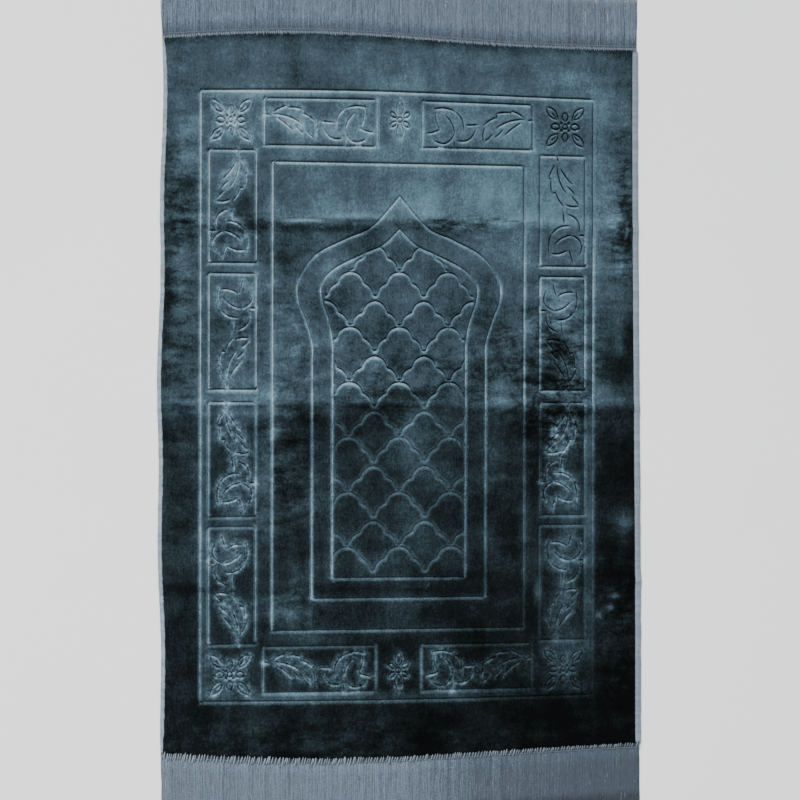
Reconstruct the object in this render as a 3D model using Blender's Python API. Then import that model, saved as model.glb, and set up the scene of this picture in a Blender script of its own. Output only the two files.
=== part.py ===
"""A plush prayer rug lying flat: an embossed pile mat, two side bindings and two fringes.

Run with:  blender --background --python part.py
Units are metres. +Z is up, +Y points where the niche's tip points, and the floor is z = 0.
Every piece is modelled square and flat first, and lay() then gives it the pulled ends,
the wavy sides and the risen folds of the real rug.
"""

import math
import random

import bmesh
import bpy
import numpy as np
from mathutils import Vector
from mathutils.geometry import delaunay_2d_cdt

RUG = "prayer_rug"
GAP = 0.0004  # between neighbouring pieces

# The mat: backing and pile
MAT_LENGTH = 1.180
MAT_HALF_WIDTH = 0.394
MAT_HEIGHT = 0.009
RIM_DROP = 0.002  # the pile falls away at its rim
RIM_WIDTH = 0.003
RIM_STEP = 0.060  # spacing of the points round the rim
OPEN_STEP = 0.070  # spacing of the points on open pile

# The side bindings: a folded tape round a thin tongue of the backing
BINDING_WIDTH = 0.010
BINDING_HEIGHT = 0.005
BINDING_WALL = 0.001
BINDING_ROUND = 0.0012
TONGUE_BOTTOM = BINDING_WALL + GAP
TONGUE_TOP = BINDING_HEIGHT - BINDING_WALL - GAP
TONGUE_LENGTH = BINDING_WIDTH - BINDING_WALL - 3 * GAP

# The fringes: a sewn heading and loose locks that lie on the floor
HEADING_WIDTH = 0.009
HEADING_HEIGHT = 0.003
LOCKS = 106  # on each end
LOCK_BASE = 0.0050
LOCK_HEIGHT = 0.0018
# Share of the length, share of the base, share of the height, sideways stray
LOCK_SECTIONS = ((0.5, 0.86, 0.90, 0.0010), (1.0, 0.42, 0.55, 0.0010))
FAR_LOCK_LENGTH = 0.094
NEAR_LOCK_LENGTH = 0.0932
LOCK_UNEVEN = 0.003
LOCK_SEED = 11

# How the rug lies
FOLDS = (0.287, -0.014, -0.316)  # lines across the rug, left from folding it in quarters
FOLD_RISE = 0.003
FOLD_SPREAD = 0.009
FOLD_WOBBLE = (0.003, 9.0, 2.0)  # height, radians per metre, shift from fold to fold
FOLD_ROWS = (-0.013, 0.0, 0.013)
# Each end is drawn outward: from where, even part, part that leans to the left
FAR_PULL = (0.375, 0.010, 0.006)
NEAR_PULL = (0.470, 0.014, 0.003)
# Each side is wavy: height, radians per metre, phase
SIDE_WAVES_FROM = 0.340
LEFT_WAVES = ((0.0034, 5.2, 0.26), (0.0016, 20.9, -0.8))
RIGHT_WAVES = ((0.0046, 2.6, 1.57),)

# The embossed lines
LINE_WIDTH = 0.0056
LINE_DEPTH = 0.0035
STROKE_WIDTH = 0.0044
STROKE_DEPTH = 0.0028
MITRE_LIMIT = 0.45
LINE_STEP = 0.080
SHORTEST_RUN = 0.001
AXIS_X = -0.007  # the pattern sits a little to the left of the middle

OUTER_FRAME = (0.3305, 0.5045)  # half width, half length
INNER_FRAME = (0.212, 0.390)

# End blocks: from and to across the rug, from and to along it
END_BLOCK = (0.038, 0.226, 0.4165, 0.4910)
SIDE_BLOCK_X = (0.2390, 0.3165)
# Side blocks, far to near: upper and lower end
SIDE_BLOCKS = ((0.4080, 0.2215), (0.2040, 0.0115), (-0.0095, -0.2000), (-0.2165, -0.4115))

# Right half of the niche's outlines: the foot's corner, then the curve up to the tip
OUTER_FOOT = (0.1460, -0.3370)
OUTER_CURVE = (
    ("above the foot", 0.1460, 0.0600),
    ("end of the straight", 0.1465, 0.0900),
    ("neck", 0.1580, 0.1290),
    ("belly", 0.1705, 0.1640),
    ("widest", 0.1680, 0.1970),
    ("shoulder", 0.1400, 0.2370),
    ("upper shoulder", 0.0900, 0.2640),
    ("below the tip", 0.0460, 0.2850),
    ("tip", 0.0, 0.3370),
)
INNER_FOOT = (0.1120, -0.3030)
INNER_CURVE = (
    ("above the foot", 0.1120, 0.0600),
    ("end of the straight", 0.1125, 0.0900),
    ("neck", 0.1190, 0.1270),
    ("belly", 0.1310, 0.1640),
    ("widest", 0.1300, 0.1900),
    ("shoulder", 0.1080, 0.2150),
    ("upper shoulder", 0.0610, 0.2390),
    ("below the tip", 0.0280, 0.2545),
    ("tip", 0.0, 0.2820),
)
NICHE_STEP = 0.020

# The trellis of pointed cells inside the niche
CELL_HALF_WIDTH = 0.0405
CELL_WIDENING = 0.0003  # from each row to the next
CELL_HALF_HEIGHT = 0.0460
CELL_ROWS = 12
FIRST_REACH = 1  # how many columns the first row, and each other row, reaches to a side
FULL_REACH = 3
CELL_TOP = 0.2086 + CELL_HALF_HEIGHT
CROWN_DROP = (0.0025, 0.0)  # even rows, odd rows
TIP_LIFT = (0.0030, 0.0085)  # how far the tips of even and odd rows stop above a crown
# One side of a cell, crown to notch to tip, in shares of the half cell: x, y, swell, steps
NARROW_CROWN = ((0.48, 0.50, 0.150, 3), (1.0, 1.0, 0.100, 3))
WIDE_CROWN = ((0.58, 0.44, 0.130, 3), (1.0, 1.0, 0.080, 3))
CELL_SIDES = (NARROW_CROWN, WIDE_CROWN)  # even rows, odd rows

# Leaf and tulip of a block, along it from its outer end and up from its lower side:
# from, to, and the swell to the left of the way
BLOCK_STROKES = (
    ("leaf stem", 0.0020, 0.0485, 0.0110, 0.0475, 0.0000),
    ("leaf back, first lobe", 0.0150, 0.0520, 0.0385, 0.0630, 0.0015),
    ("leaf back, second lobe", 0.0388, 0.0600, 0.0632, 0.0570, 0.0015),
    ("leaf back, third lobe", 0.0620, 0.0520, 0.0845, 0.0375, 0.0020),
    ("leaf tip", 0.0825, 0.0340, 0.0846, 0.0115, 0.0020),
    ("leaf midrib", 0.0150, 0.0490, 0.0640, 0.0325, 0.0045),
    ("leaf belly, first lobe", 0.0200, 0.0440, 0.0480, 0.0228, 0.0012),
    ("leaf belly, second lobe", 0.0515, 0.0320, 0.0646, 0.0190, -0.0010),
    ("leaf belly, third lobe", 0.0687, 0.0245, 0.0825, 0.0115, -0.0008),
    ("tulip calyx", 0.0955, 0.0388, 0.1145, 0.0373, -0.0006),
    ("tulip bowl", 0.0984, 0.0315, 0.1310, 0.0120, -0.0095),
    ("tulip outer petal, side", 0.1190, 0.0280, 0.1340, 0.0590, 0.0055),
    ("tulip outer petal, top", 0.1340, 0.0590, 0.1690, 0.0612, 0.0035),
    ("tulip inner petal, back", 0.1500, 0.0525, 0.1340, 0.0240, -0.0035),
    ("tulip inner petal, foot", 0.1340, 0.0240, 0.1690, 0.0115, -0.0110),
    ("tulip inner petal, edge", 0.1650, 0.0590, 0.1585, 0.0300, 0.0035),
    ("tulip lip", 0.1585, 0.0290, 0.1810, 0.0222, -0.0012),
    ("tulip stem", 0.1343, 0.0120, 0.1343, 0.0020, 0.0000),
)

# Corner flowers
FLOWER_X = 0.281
FLOWER_Y = {1: 0.456, -1: 0.462}  # far, near
FLOWER_LEAF = (0.0170, 0.0460, 0.0062)  # from and to, measured out from the centre; swell
FLOWER_MIDRIB = (0.0215, 0.0340)
FLOWER_PETAL = (0.0085, 0.0250, 0.0050)
FLOWER_BEAD = (0.0065, 0.0115)
CENTRE_RING = 0.0042

# Small medallions between the end blocks
MEDALLION_Y = 0.4595
MEDALLION_PETAL = (0.0055, 0.0315, 0.0058)
MEDALLION_LEAF = (0.0060, 0.0205, 0.0036)
MEDALLION_LEAF_TILT = math.radians(34)
RING_SIDES = 6


def ramp(value, start, stop):
    """0 up to start, 1 from stop on."""
    return min(max((value - start) / (stop - start), 0.0), 1.0)


def fold_rise(x, y):
    """How far the rug stands up from the floor at its old fold lines."""
    rise = 0.0
    for number, level in enumerate(FOLDS):
        height, rate, shift = FOLD_WOBBLE
        line = level + height * math.sin(rate * x + shift * number)
        rise += FOLD_RISE * math.exp(-(((y - line) / FOLD_SPREAD) ** 2))
    return rise


def lay(point):
    """Where a point of the flat, square rug comes to lie."""
    x, y, z = point
    across = math.pi * (x / (2 * MAT_HALF_WIDTH) + 0.5)
    start, even, leaning = FAR_PULL if y > 0 else NEAR_PULL
    share = ramp(abs(y), start, MAT_LENGTH / 2)
    pull = share * even * math.sin(across) + share**3 * leaning * math.sin(2 * across)
    waves = LEFT_WAVES if x < 0 else RIGHT_WAVES
    wave = sum(height * math.cos(rate * y + phase) for height, rate, phase in waves)
    wave *= ramp(abs(x), SIDE_WAVES_FROM, MAT_HALF_WIDTH)
    return Vector(
        (
            x + math.copysign(wave, x),
            y + math.copysign(pull, y),
            z + fold_rise(x, y),
        )
    )


def arc(start, stop, swell, steps):
    """Points from start to stop, swelling to the left of the way."""
    way = stop - start
    left = Vector((-way.y, way.x)).normalized()
    shares = [step / steps for step in range(steps + 1)]
    return [start.lerp(stop, t) + left * (4 * swell * t * (1 - t)) for t in shares]


class Groove:
    """An embossed line: its points on the flat mat, with half a width and a depth at each."""

    def __init__(self, points, width, depth, closed=False, tapered=False):
        self.closed = closed
        self.tapered = tapered
        self.points = with_stations(points, closed)
        last = len(self.points) - 1
        thin = [tapered and i in (0, last) for i in range(last + 1)]
        self.widths = [0.0 if t else width / 2 for t in thin]
        self.depths = [0.0 if t else depth for t in thin]

    def spans(self):
        count = len(self.points)
        return [(i, (i + 1) % count) for i in range(count if self.closed else count - 1)]


def with_stations(points, closed):
    """The line with extra points on long runs and where it crosses a fold."""
    rows = [level + row for level in FOLDS for row in FOLD_ROWS]
    ends = points[1:] + points[:1] if closed else points[1:]
    out = []
    for start, stop in zip(points, ends):
        runs = max(1, math.ceil((stop - start).length / LINE_STEP))
        shares = [run / runs for run in range(runs)]
        rise = stop.y - start.y
        if abs(rise) > FOLD_SPREAD:
            crossings = [(row - start.y) / rise for row in rows]
            shares += [t for t in crossings if 0.04 < t < 0.96]
        for share in sorted(shares):
            point = start.lerp(stop, share)
            if not out or (point - out[-1]).length > SHORTEST_RUN:
                out.append(point)
    return out if closed else out + [points[-1]]


def line(points, closed=False):
    return Groove(points, LINE_WIDTH, LINE_DEPTH, closed)


def stroke(points):
    return Groove(points, STROKE_WIDTH, STROKE_DEPTH, tapered=True)


def rectangle(x0, x1, y0, y1):
    corners = ((x0, y0), (x1, y0), (x1, y1), (x0, y1))
    return line([Vector(corner) for corner in corners], closed=True)


def frame(size):
    half_width, half_length = size
    return rectangle(AXIS_X - half_width, AXIS_X + half_width, -half_length, half_length)


def flowing(points, spacing):
    """A smooth line through the points, with a new point about every spacing."""
    padded = [2 * points[0] - points[1]] + points + [2 * points[-1] - points[-2]]
    out = [points[0]]
    for a, b, c, d in zip(padded, padded[1:], padded[2:], padded[3:]):
        steps = max(1, round((c - b).length / spacing))
        for t in (step / steps for step in range(1, steps + 1)):
            bend = (2 * a - 5 * b + 4 * c - d) * t**2 + (3 * b - a - 3 * c + d) * t**3
            out.append((2 * b + (c - a) * t + bend) / 2)
    return out


def niche(foot, curve):
    """The closed outline of a niche, from its right half."""
    half = [Vector(foot)] + flowing([Vector((x, y)) for _, x, y in curve], NICHE_STEP)
    other = [Vector((-point.x, point.y)) for point in reversed(half[:-1])]
    return [point + Vector((AXIS_X, 0)) for point in half + other]


def inside(point, outline):
    """Whether a point lies within a closed outline."""
    found = False
    for a, b in zip(outline, outline[1:] + outline[:1]):
        if (a.y > point.y) != (b.y > point.y):
            if point.x < a.x + (b.x - a.x) * (point.y - a.y) / (b.y - a.y):
                found = not found
    return found


def crossing(start, stop, outline):
    """The point between start, within the outline, and stop, beyond it, that is on it."""
    for _ in range(20):
        middle = (start + stop) / 2
        if inside(middle, outline):
            start = middle
        else:
            stop = middle
    return start


def trimmed(points, outline):
    """The runs of a line that lie within an outline."""
    runs = [[]]
    for start, stop in zip(points, points[1:]):
        if inside(start, outline):
            runs[-1] += [start] if not runs[-1] else []
            if inside(stop, outline):
                runs[-1].append(stop)
            else:
                runs[-1].append(crossing(start, stop, outline))
                runs.append([])
        elif inside(stop, outline):
            runs[-1] = [crossing(stop, start, outline), stop]
    return [run for run in runs if len(run) > 1 and (run[-1] - run[0]).length > LINE_WIDTH]


def crown_at(column, row):
    width = CELL_HALF_WIDTH + row * CELL_WIDENING
    height = CELL_TOP - row * CELL_HALF_HEIGHT - CROWN_DROP[row % 2]
    return Vector((AXIS_X + column * width, height))


def cell_side(column, row, way):
    """One side of a cell: from its crown, out to the left or right, and down to a tip."""
    crown = crown_at(column, row)
    tip = crown_at(column + way, row + 1) + Vector((0, TIP_LIFT[row % 2]))
    reach = tip - crown
    points = [crown]
    for x, y, swell, steps in CELL_SIDES[row % 2]:
        stop = crown + reach * Vector((x, y))
        points += arc(points[-1], stop, way * swell * CELL_HALF_WIDTH, steps)[1:]
    return points


def trellis(outline):
    grooves = []
    for row in range(CELL_ROWS):
        reach = FULL_REACH if row else FIRST_REACH
        for column in range(-reach, reach + 1):
            if (row + column) % 2 == 0:
                continue
            for way in (-1, 1):
                runs = trimmed(cell_side(column, row, way), outline)
                grooves += [line(run) for run in runs]
    return grooves


def block_motif(corner, along, up):
    """Leaf and tulip, drawn from a block's corner along it and up across it."""
    grooves = []
    turned = along.x * up.y - along.y * up.x
    for _, x0, y0, x1, y1, swell in BLOCK_STROKES:
        start = corner + along * x0 + up * y0
        stop = corner + along * x1 + up * y1
        steps = 3 if (stop - start).length > 0.030 else 2
        grooves.append(stroke(arc(start, stop, swell * turned, steps)))
    return grooves


def end_blocks():
    """Two blocks at each end, mirrored about the rug's axis."""
    x0, x1, y0, y1 = END_BLOCK
    grooves = []
    for side in (-1, 1):
        across = sorted((AXIS_X + side * x0, AXIS_X + side * x1))
        for low, high in ((y0, y1), (-y1, -y0)):
            grooves.append(rectangle(*across, low, high))
            corner = Vector((AXIS_X + side * x1, low))
            grooves += block_motif(corner, Vector((-side, 0)), Vector((0, 1)))
    return grooves


def side_blocks():
    """Four blocks down each side; each motif turns its back on the one before."""
    x0, x1 = SIDE_BLOCK_X
    grooves = []
    for side in (-1, 1):
        across = sorted((AXIS_X + side * x0, AXIS_X + side * x1))
        for number, (high, low) in enumerate(SIDE_BLOCKS):
            grooves.append(rectangle(*across, low, high))
            leaf_up = 1 if number % 2 == 0 else -1
            out = -side if number in (0, 3) else side
            corner = Vector((across[0] if out > 0 else across[1], high if leaf_up > 0 else low))
            grooves += block_motif(corner, Vector((0, -leaf_up)), Vector((out, 0)))
    return grooves


def petal(centre, angle, size, steps):
    """Two arcs that meet in a point at both ends."""
    start, stop, swell = size
    way = Vector((math.cos(angle), math.sin(angle)))
    near, far = centre + way * start, centre + way * stop
    return [stroke(arc(near, far, bend, steps)) for bend in (swell, -swell)]


def ring(centre, radius):
    turns = [math.tau * (i + 0.5) / RING_SIDES for i in range(RING_SIDES)]
    points = [centre + radius * Vector((math.cos(turn), math.sin(turn))) for turn in turns]
    return Groove(points, STROKE_WIDTH, STROKE_DEPTH, closed=True)


def flower(centre):
    """A ring, four petals on the axes, and beads and long leaves on the diagonals."""
    grooves = [ring(centre, CENTRE_RING)]
    for quarter in range(4):
        grooves += petal(centre, quarter * math.pi / 2, FLOWER_PETAL, 2)
        diagonal = (quarter + 0.5) * math.pi / 2
        grooves += petal(centre, diagonal, FLOWER_LEAF, 3)
        way = Vector((math.cos(diagonal), math.sin(diagonal)))
        for start, stop in (FLOWER_BEAD, FLOWER_MIDRIB):
            grooves.append(stroke(arc(centre + way * start, centre + way * stop, 0.0, 2)))
    return grooves


def medallion(centre):
    """A ring between two upright petals and four short leaves."""
    grooves = [ring(centre, CENTRE_RING)]
    for upright in (math.pi / 2, -math.pi / 2):
        grooves += petal(centre, upright, MEDALLION_PETAL, 2)
    for base in (0, math.pi):
        for tilt in (MEDALLION_LEAF_TILT, -MEDALLION_LEAF_TILT):
            grooves += petal(centre, base + tilt, MEDALLION_LEAF, 2)
    return grooves


def embossing():
    """Every embossed line of the mat."""
    outline = niche(INNER_FOOT, INNER_CURVE)
    grooves = [frame(OUTER_FRAME), frame(INNER_FRAME)]
    grooves += [line(niche(OUTER_FOOT, OUTER_CURVE), closed=True), line(outline, closed=True)]
    grooves += trellis(outline) + end_blocks() + side_blocks()
    for end in (-1, 1):
        grooves += medallion(Vector((AXIS_X, end * MEDALLION_Y)))
        for side in (-1, 1):
            grooves += flower(Vector((AXIS_X + side * FLOWER_X, end * FLOWER_Y[end])))
    return grooves


def beside(groove, way):
    """The groove's edge on one side, with mitred corners."""
    points, count = groove.points, len(groove.points)
    edge = []
    for i, point in enumerate(points):
        normals = []
        if groove.closed or i > 0:
            normals.append((point - points[i - 1]).normalized())
        if groove.closed or i < count - 1:
            normals.append((points[(i + 1) % count] - point).normalized())
        normals = [Vector((-n.y, n.x)) for n in normals]
        middle = sum(normals, Vector((0, 0))).normalized()
        reach = groove.widths[i] / max(middle.dot(normals[0]), MITRE_LIMIT)
        edge.append(point + middle * (way * reach))
    return edge


def blunt_cap(groove, at_start):
    """The point just past a blunt end, where the groove's floor has risen to the pile."""
    points = groove.points
    end, before = (points[0], points[1]) if at_start else (points[-1], points[-2])
    return end + (end - before).normalized() * (LINE_WIDTH / 2)


class Plan:
    """Points and edges on the flat mat, for one triangulation."""

    def __init__(self):
        self.points = []
        self.edges = []

    def add_line(self, points, closed=False):
        first = len(self.points)
        self.points += points
        count = len(points)
        self.edges += [(first + i, first + i + 1) for i in range(count - 1)]
        if closed:
            self.edges.append((first + count - 1, first))

    def add_groove(self, groove):
        edges = [beside(groove, way) for way in (-1, 1)]
        self.add_line(groove.points, groove.closed)
        for edge in edges:
            self.add_line(edge, groove.closed)
        if not groove.closed and not groove.tapered:
            for at_start, i in ((True, 0), (False, -1)):
                self.add_line([edges[0][i], blunt_cap(groove, at_start), edges[1][i]])

    def triangles(self):
        result = delaunay_2d_cdt(self.points, self.edges, [], 0, 0.0002)
        return result[0], result[2]


def depth_table(grooves):
    """One row for each run of a groove: ends, half widths and depths."""
    rows = []
    for groove in grooves:
        for i, j in groove.spans():
            a, b = groove.points[i], groove.points[j]
            widths = (groove.widths[i], groove.widths[j])
            rows.append((*a, *b, *widths, groove.depths[i], groove.depths[j]))
    return np.array(rows)


def nearest(x, y, table):
    """For each run of a groove: how far along it its nearest place is, and how far off."""
    ax, ay, bx, by = table.T[:4]
    way_x, way_y = bx - ax, by - ay
    share = ((x - ax) * way_x + (y - ay) * way_y) / (way_x**2 + way_y**2)
    share = np.clip(share, 0, 1)
    return share, np.hypot(x - ax - share * way_x, y - ay - share * way_y)


def groove_depth(x, y, table):
    """How deep the pile is pressed at a point."""
    share, off = nearest(x, y, table)
    w0, w1, d0, d1 = table.T[4:]
    width = np.maximum(w0 + (w1 - w0) * share, 1e-6)
    depth = (d0 + (d1 - d0) * share) * np.clip(1 - off / width, 0, 1)
    return float(depth.max())


def side_stations():
    """Places along the sides: even steps, with close ones at the folds."""
    half = MAT_LENGTH / 2
    rows = [level + row for level in FOLDS for row in FOLD_ROWS]
    steps = round(MAT_LENGTH / RIM_STEP)
    even = [half - MAT_LENGTH * i / steps for i in range(steps + 1)]
    far = [y for y in even if min(abs(y - row) for row in rows) > RIM_STEP / 3]
    return sorted(far + rows)


def end_stations():
    steps = round(2 * MAT_HALF_WIDTH / RIM_STEP)
    return [-MAT_HALF_WIDTH + 2 * MAT_HALF_WIDTH * i / steps for i in range(steps + 1)]


def rim(inset):
    """The mat's outline, drawn in by inset, anticlockwise from its near left corner."""
    x1, y1 = MAT_HALF_WIDTH - inset, MAT_LENGTH / 2 - inset
    xs = [-x1] + end_stations()[1:-1] + [x1]
    ys = [-y1] + side_stations()[1:-1] + [y1]
    outline = [Vector((x, -y1)) for x in xs[:-1]] + [Vector((x1, y)) for y in ys[:-1]]
    outline += [Vector((x, y1)) for x in reversed(xs[1:])]
    return outline + [Vector((-x1, y)) for y in reversed(ys[1:])]


def fold_points(spacing):
    """Rows of points along each fold."""
    count = round(2 * MAT_HALF_WIDTH / spacing)
    xs = [-MAT_HALF_WIDTH + 2 * MAT_HALF_WIDTH * i / count for i in range(1, count)]
    return [Vector((x, level + row)) for level in FOLDS for row in FOLD_ROWS for x in xs]


def open_points():
    xs = np.arange(-MAT_HALF_WIDTH + OPEN_STEP, MAT_HALF_WIDTH - OPEN_STEP / 2, OPEN_STEP)
    ys = np.arange(-MAT_LENGTH / 2 + OPEN_STEP / 2, MAT_LENGTH / 2, OPEN_STEP)
    return [Vector((x, y)) for x in xs for y in ys]


def add_sheet(bm, plan, height, facing):
    """Triangulate a plan and add it at height(x, y), facing up (1) or down (-1)."""
    points, triangles = plan.triangles()
    verts = [bm.verts.new((p.x, p.y, height(p.x, p.y))) for p in points]
    for triangle in triangles:
        corners = [verts[i] for i in triangle]
        face = bm.faces.new(corners)
        face.normal_update()
        if face.normal.z * facing < 0:
            face.normal_flip()


def pile_top(bm):
    """The upper face: open pile, pressed lines and a fallen rim."""
    grooves = embossing()
    table = depth_table(grooves)
    plan = Plan()
    plan.add_line(rim(0.0), closed=True)
    plan.add_line(rim(RIM_WIDTH), closed=True)
    for groove in grooves:
        plan.add_groove(groove)
    loose = fold_points(OPEN_STEP) + open_points()
    plan.points += [p for p in loose if nearest(p.x, p.y, table)[1].min() > 2 * LINE_WIDTH]

    def height(x, y):
        at_rim = max(abs(x) - MAT_HALF_WIDTH, abs(y) - MAT_LENGTH / 2)
        drop = RIM_DROP * ramp(at_rim, -RIM_WIDTH, 0.0)
        return MAT_HEIGHT - drop - groove_depth(x, y, table)

    add_sheet(bm, plan, height, 1)


def backing(bm):
    """The lower face: flat on the floor but for the folds."""
    plan = Plan()
    plan.add_line(rim(0.0), closed=True)
    plan.points += fold_points(2 * OPEN_STEP)
    add_sheet(bm, plan, lambda x, y: 0.0, -1)


def side_walls(bm):
    """Walls between the two faces, in bands that leave a place for the tongues."""
    edges = [edge for edge in bm.edges if edge.is_boundary and edge.verts[0].co.z > 0]
    for level in (TONGUE_TOP, TONGUE_BOTTOM, 0.0):
        grown = bmesh.ops.extrude_edge_only(bm, edges=edges)["geom"]
        for vert in (item for item in grown if isinstance(item, bmesh.types.BMVert)):
            vert.co.z = level
        edges = [item for item in grown if isinstance(item, bmesh.types.BMEdge)]
    bmesh.ops.remove_doubles(bm, verts=bm.verts, dist=0.00001)
    bmesh.ops.recalc_face_normals(bm, faces=bm.faces)


def tongues(bm):
    """Thin edges of backing that the bindings fold round."""
    for side in (-1, 1):
        band = [face for face in bm.faces if is_tongue_root(face, side)]
        grown = bmesh.ops.extrude_face_region(bm, geom=band)["geom"]
        verts = [item for item in grown if isinstance(item, bmesh.types.BMVert)]
        bmesh.ops.translate(bm, verts=verts, vec=(side * TONGUE_LENGTH, 0, 0))
        bmesh.ops.delete(bm, geom=band, context="FACES_KEEP_BOUNDARY")


def is_tongue_root(face, side):
    middle = face.calc_center_median()
    on_side = abs(middle.x - side * MAT_HALF_WIDTH) < 0.0001
    return on_side and TONGUE_BOTTOM < middle.z < TONGUE_TOP


def make_object(name, bm, colour, roughness):
    """Lay the flat piece, and add it to the rug's collection with its own material."""
    bmesh.ops.triangulate(bm, faces=bm.faces)
    for vert in bm.verts:
        vert.co = lay(vert.co)
    bmesh.ops.recalc_face_normals(bm, faces=bm.faces)
    mesh = bpy.data.meshes.new(name)
    bm.to_mesh(mesh)
    bm.free()
    piece = bpy.data.objects.new(name, mesh)
    material = bpy.data.materials.new(name)
    material.use_nodes = True
    shader = material.node_tree.nodes["Principled BSDF"]
    shader.inputs["Base Color"].default_value = (*colour, 1.0)
    shader.inputs["Roughness"].default_value = roughness
    shader.inputs["Metallic"].default_value = 0.0
    mesh.materials.append(material)
    bpy.data.collections[RUG].objects.link(piece)


def make_mat():
    bm = bmesh.new()
    pile_top(bm)
    backing(bm)
    side_walls(bm)
    tongues(bm)
    make_object("pile_mat", bm, (0.055, 0.095, 0.115), 0.9)


def binding_profile():
    """The folded tape's section: out from the mat's wall, and up."""
    width, height, wall = BINDING_WIDTH, BINDING_HEIGHT, BINDING_WALL
    inner, turn = GAP, BINDING_ROUND
    outer = ((inner, 0.0), (width - turn, 0.0), (width, turn), (width, height - turn))
    outer += ((width - turn, height), (inner, height))
    slot = ((inner, height - wall), (width - wall, height - wall), (width - wall, wall))
    return outer + slot + ((inner, wall),)


def make_binding(name, side):
    """A tape section drawn along one side, station by station."""
    bm = bmesh.new()
    stations = side_stations()
    verts = [
        bm.verts.new((side * (MAT_HALF_WIDTH + x), stations[0], z))
        for x, z in binding_profile()
    ]
    section = bm.faces.new(verts)
    for before, after in zip(stations, stations[1:]):
        grown = bmesh.ops.extrude_face_region(bm, geom=[section])["geom"]
        moved = [item for item in grown if isinstance(item, bmesh.types.BMVert)]
        bmesh.ops.translate(bm, verts=moved, vec=(0, after - before, 0))
        if before > stations[0]:
            bmesh.ops.delete(bm, geom=[section], context="FACES_ONLY")
        section = next(item for item in grown if isinstance(item, bmesh.types.BMFace))
    make_object(name, bm, (0.36, 0.43, 0.50), 0.6)


def heading_outline(end):
    """The heading seen from above: one point in turn for each edge of each lock's root."""
    half = MAT_HALF_WIDTH + BINDING_WIDTH
    inner = end * (MAT_LENGTH / 2 + GAP)
    outer = inner + end * HEADING_WIDTH
    pitch = 2 * half / LOCKS
    backs = [Vector((x, inner)) for x in np.linspace(-half, half, 15)]
    roots = []
    for i in range(LOCKS):
        middle = -half + pitch * (i + 0.5)
        roots += [Vector((middle + way * LOCK_BASE / 2, outer)) for way in (-1, 1)]
    corners = [Vector((-half, outer)), Vector((half, outer))]
    return backs + [corners[1]] + list(reversed(roots)) + [corners[0]]


def make_heading(bm, end):
    """A sewn strip that thins to the locks' height; each lock's root is a triangle."""
    outline = heading_outline(end)
    face = bm.faces.new([bm.verts.new((p.x, p.y, 0.0)) for p in outline])
    grown = bmesh.ops.extrude_face_region(bm, geom=[face])["geom"]
    top = [item for item in grown if isinstance(item, bmesh.types.BMVert)]
    middle = end * (MAT_LENGTH + HEADING_WIDTH) / 2
    for vert in top:
        outside = end * (vert.co.y - middle) > 0
        vert.co.z = LOCK_HEIGHT if outside else HEADING_HEIGHT
    crests = sorted((v for v in top if is_root_point(v)), key=lambda vert: vert.co.x)
    for left, right in zip(crests[::2], crests[1::2]):
        middle_point = (left.co + right.co) / 2
        bmesh.ops.pointmerge(bm, verts=[left, right], merge_co=middle_point)


def is_root_point(vert):
    half = MAT_HALF_WIDTH + BINDING_WIDTH
    outer = MAT_LENGTH / 2 + GAP + HEADING_WIDTH
    return abs(abs(vert.co.y) - outer) < 0.0001 and abs(vert.co.x) < half - 0.0001


def lock_roots(bm, end):
    """The triangular faces that the locks grow from, left to right."""
    faces = [f for f in bm.faces if len(f.verts) == 3 and all(map(is_root_point, f.verts))]
    roots = [face for face in faces if sum(v.co.z < 0.0001 for v in face.verts) == 2]
    return sorted(roots, key=lambda face: face.calc_center_median().x)


def grow_lock(bm, root, end, length, draw):
    """Draw a lock out of its root, level on the floor, thinner and astray towards its tip."""
    middle = sum(vert.co.x for vert in root.verts) / 3
    start = root.verts[0].co.y
    face = root
    for reach, base, height, stray in LOCK_SECTIONS:
        face = bmesh.ops.extrude_discrete_faces(bm, faces=[face])["faces"][0]
        middle += draw.uniform(-stray, stray)
        left, crest, right = sorted(face.verts, key=lambda vert: vert.co.x)
        for vert, way in ((left, -1), (crest, 0), (right, 1)):
            x = middle + way * LOCK_BASE * base / 2
            z = 0.0 if way else LOCK_HEIGHT * height
            vert.co = Vector((x, start + end * length * reach, z))


def make_fringe(name, end, length):
    bm = bmesh.new()
    make_heading(bm, end)
    draw = random.Random(LOCK_SEED + end)
    for root in lock_roots(bm, end):
        grow_lock(bm, root, end, length + draw.uniform(-LOCK_UNEVEN, LOCK_UNEVEN), draw)
    make_object(name, bm, (0.22, 0.27, 0.32), 0.8)


def main():
    for old in list(bpy.data.objects):
        bpy.data.objects.remove(old)
    bpy.context.scene.collection.children.link(bpy.data.collections.new(RUG))
    make_mat()
    make_binding("side_binding_left", -1)
    make_binding("side_binding_right", 1)
    make_fringe("fringe_far", 1, FAR_LOCK_LENGTH)
    make_fringe("fringe_near", -1, NEAR_LOCK_LENGTH)


main()
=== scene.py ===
"""Looks of the plush prayer rug: pile with pressed lines, taped sides, sewn fringes.

Units are metres. Everything is modelled square and flat, in the same plan as the solids, and
lay() then gives it the pulled ends, the wavy sides and the risen folds.
"""

import math

import bpy
import numpy as np
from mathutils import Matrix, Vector
from mathutils.geometry import delaunay_2d_cdt


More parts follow.
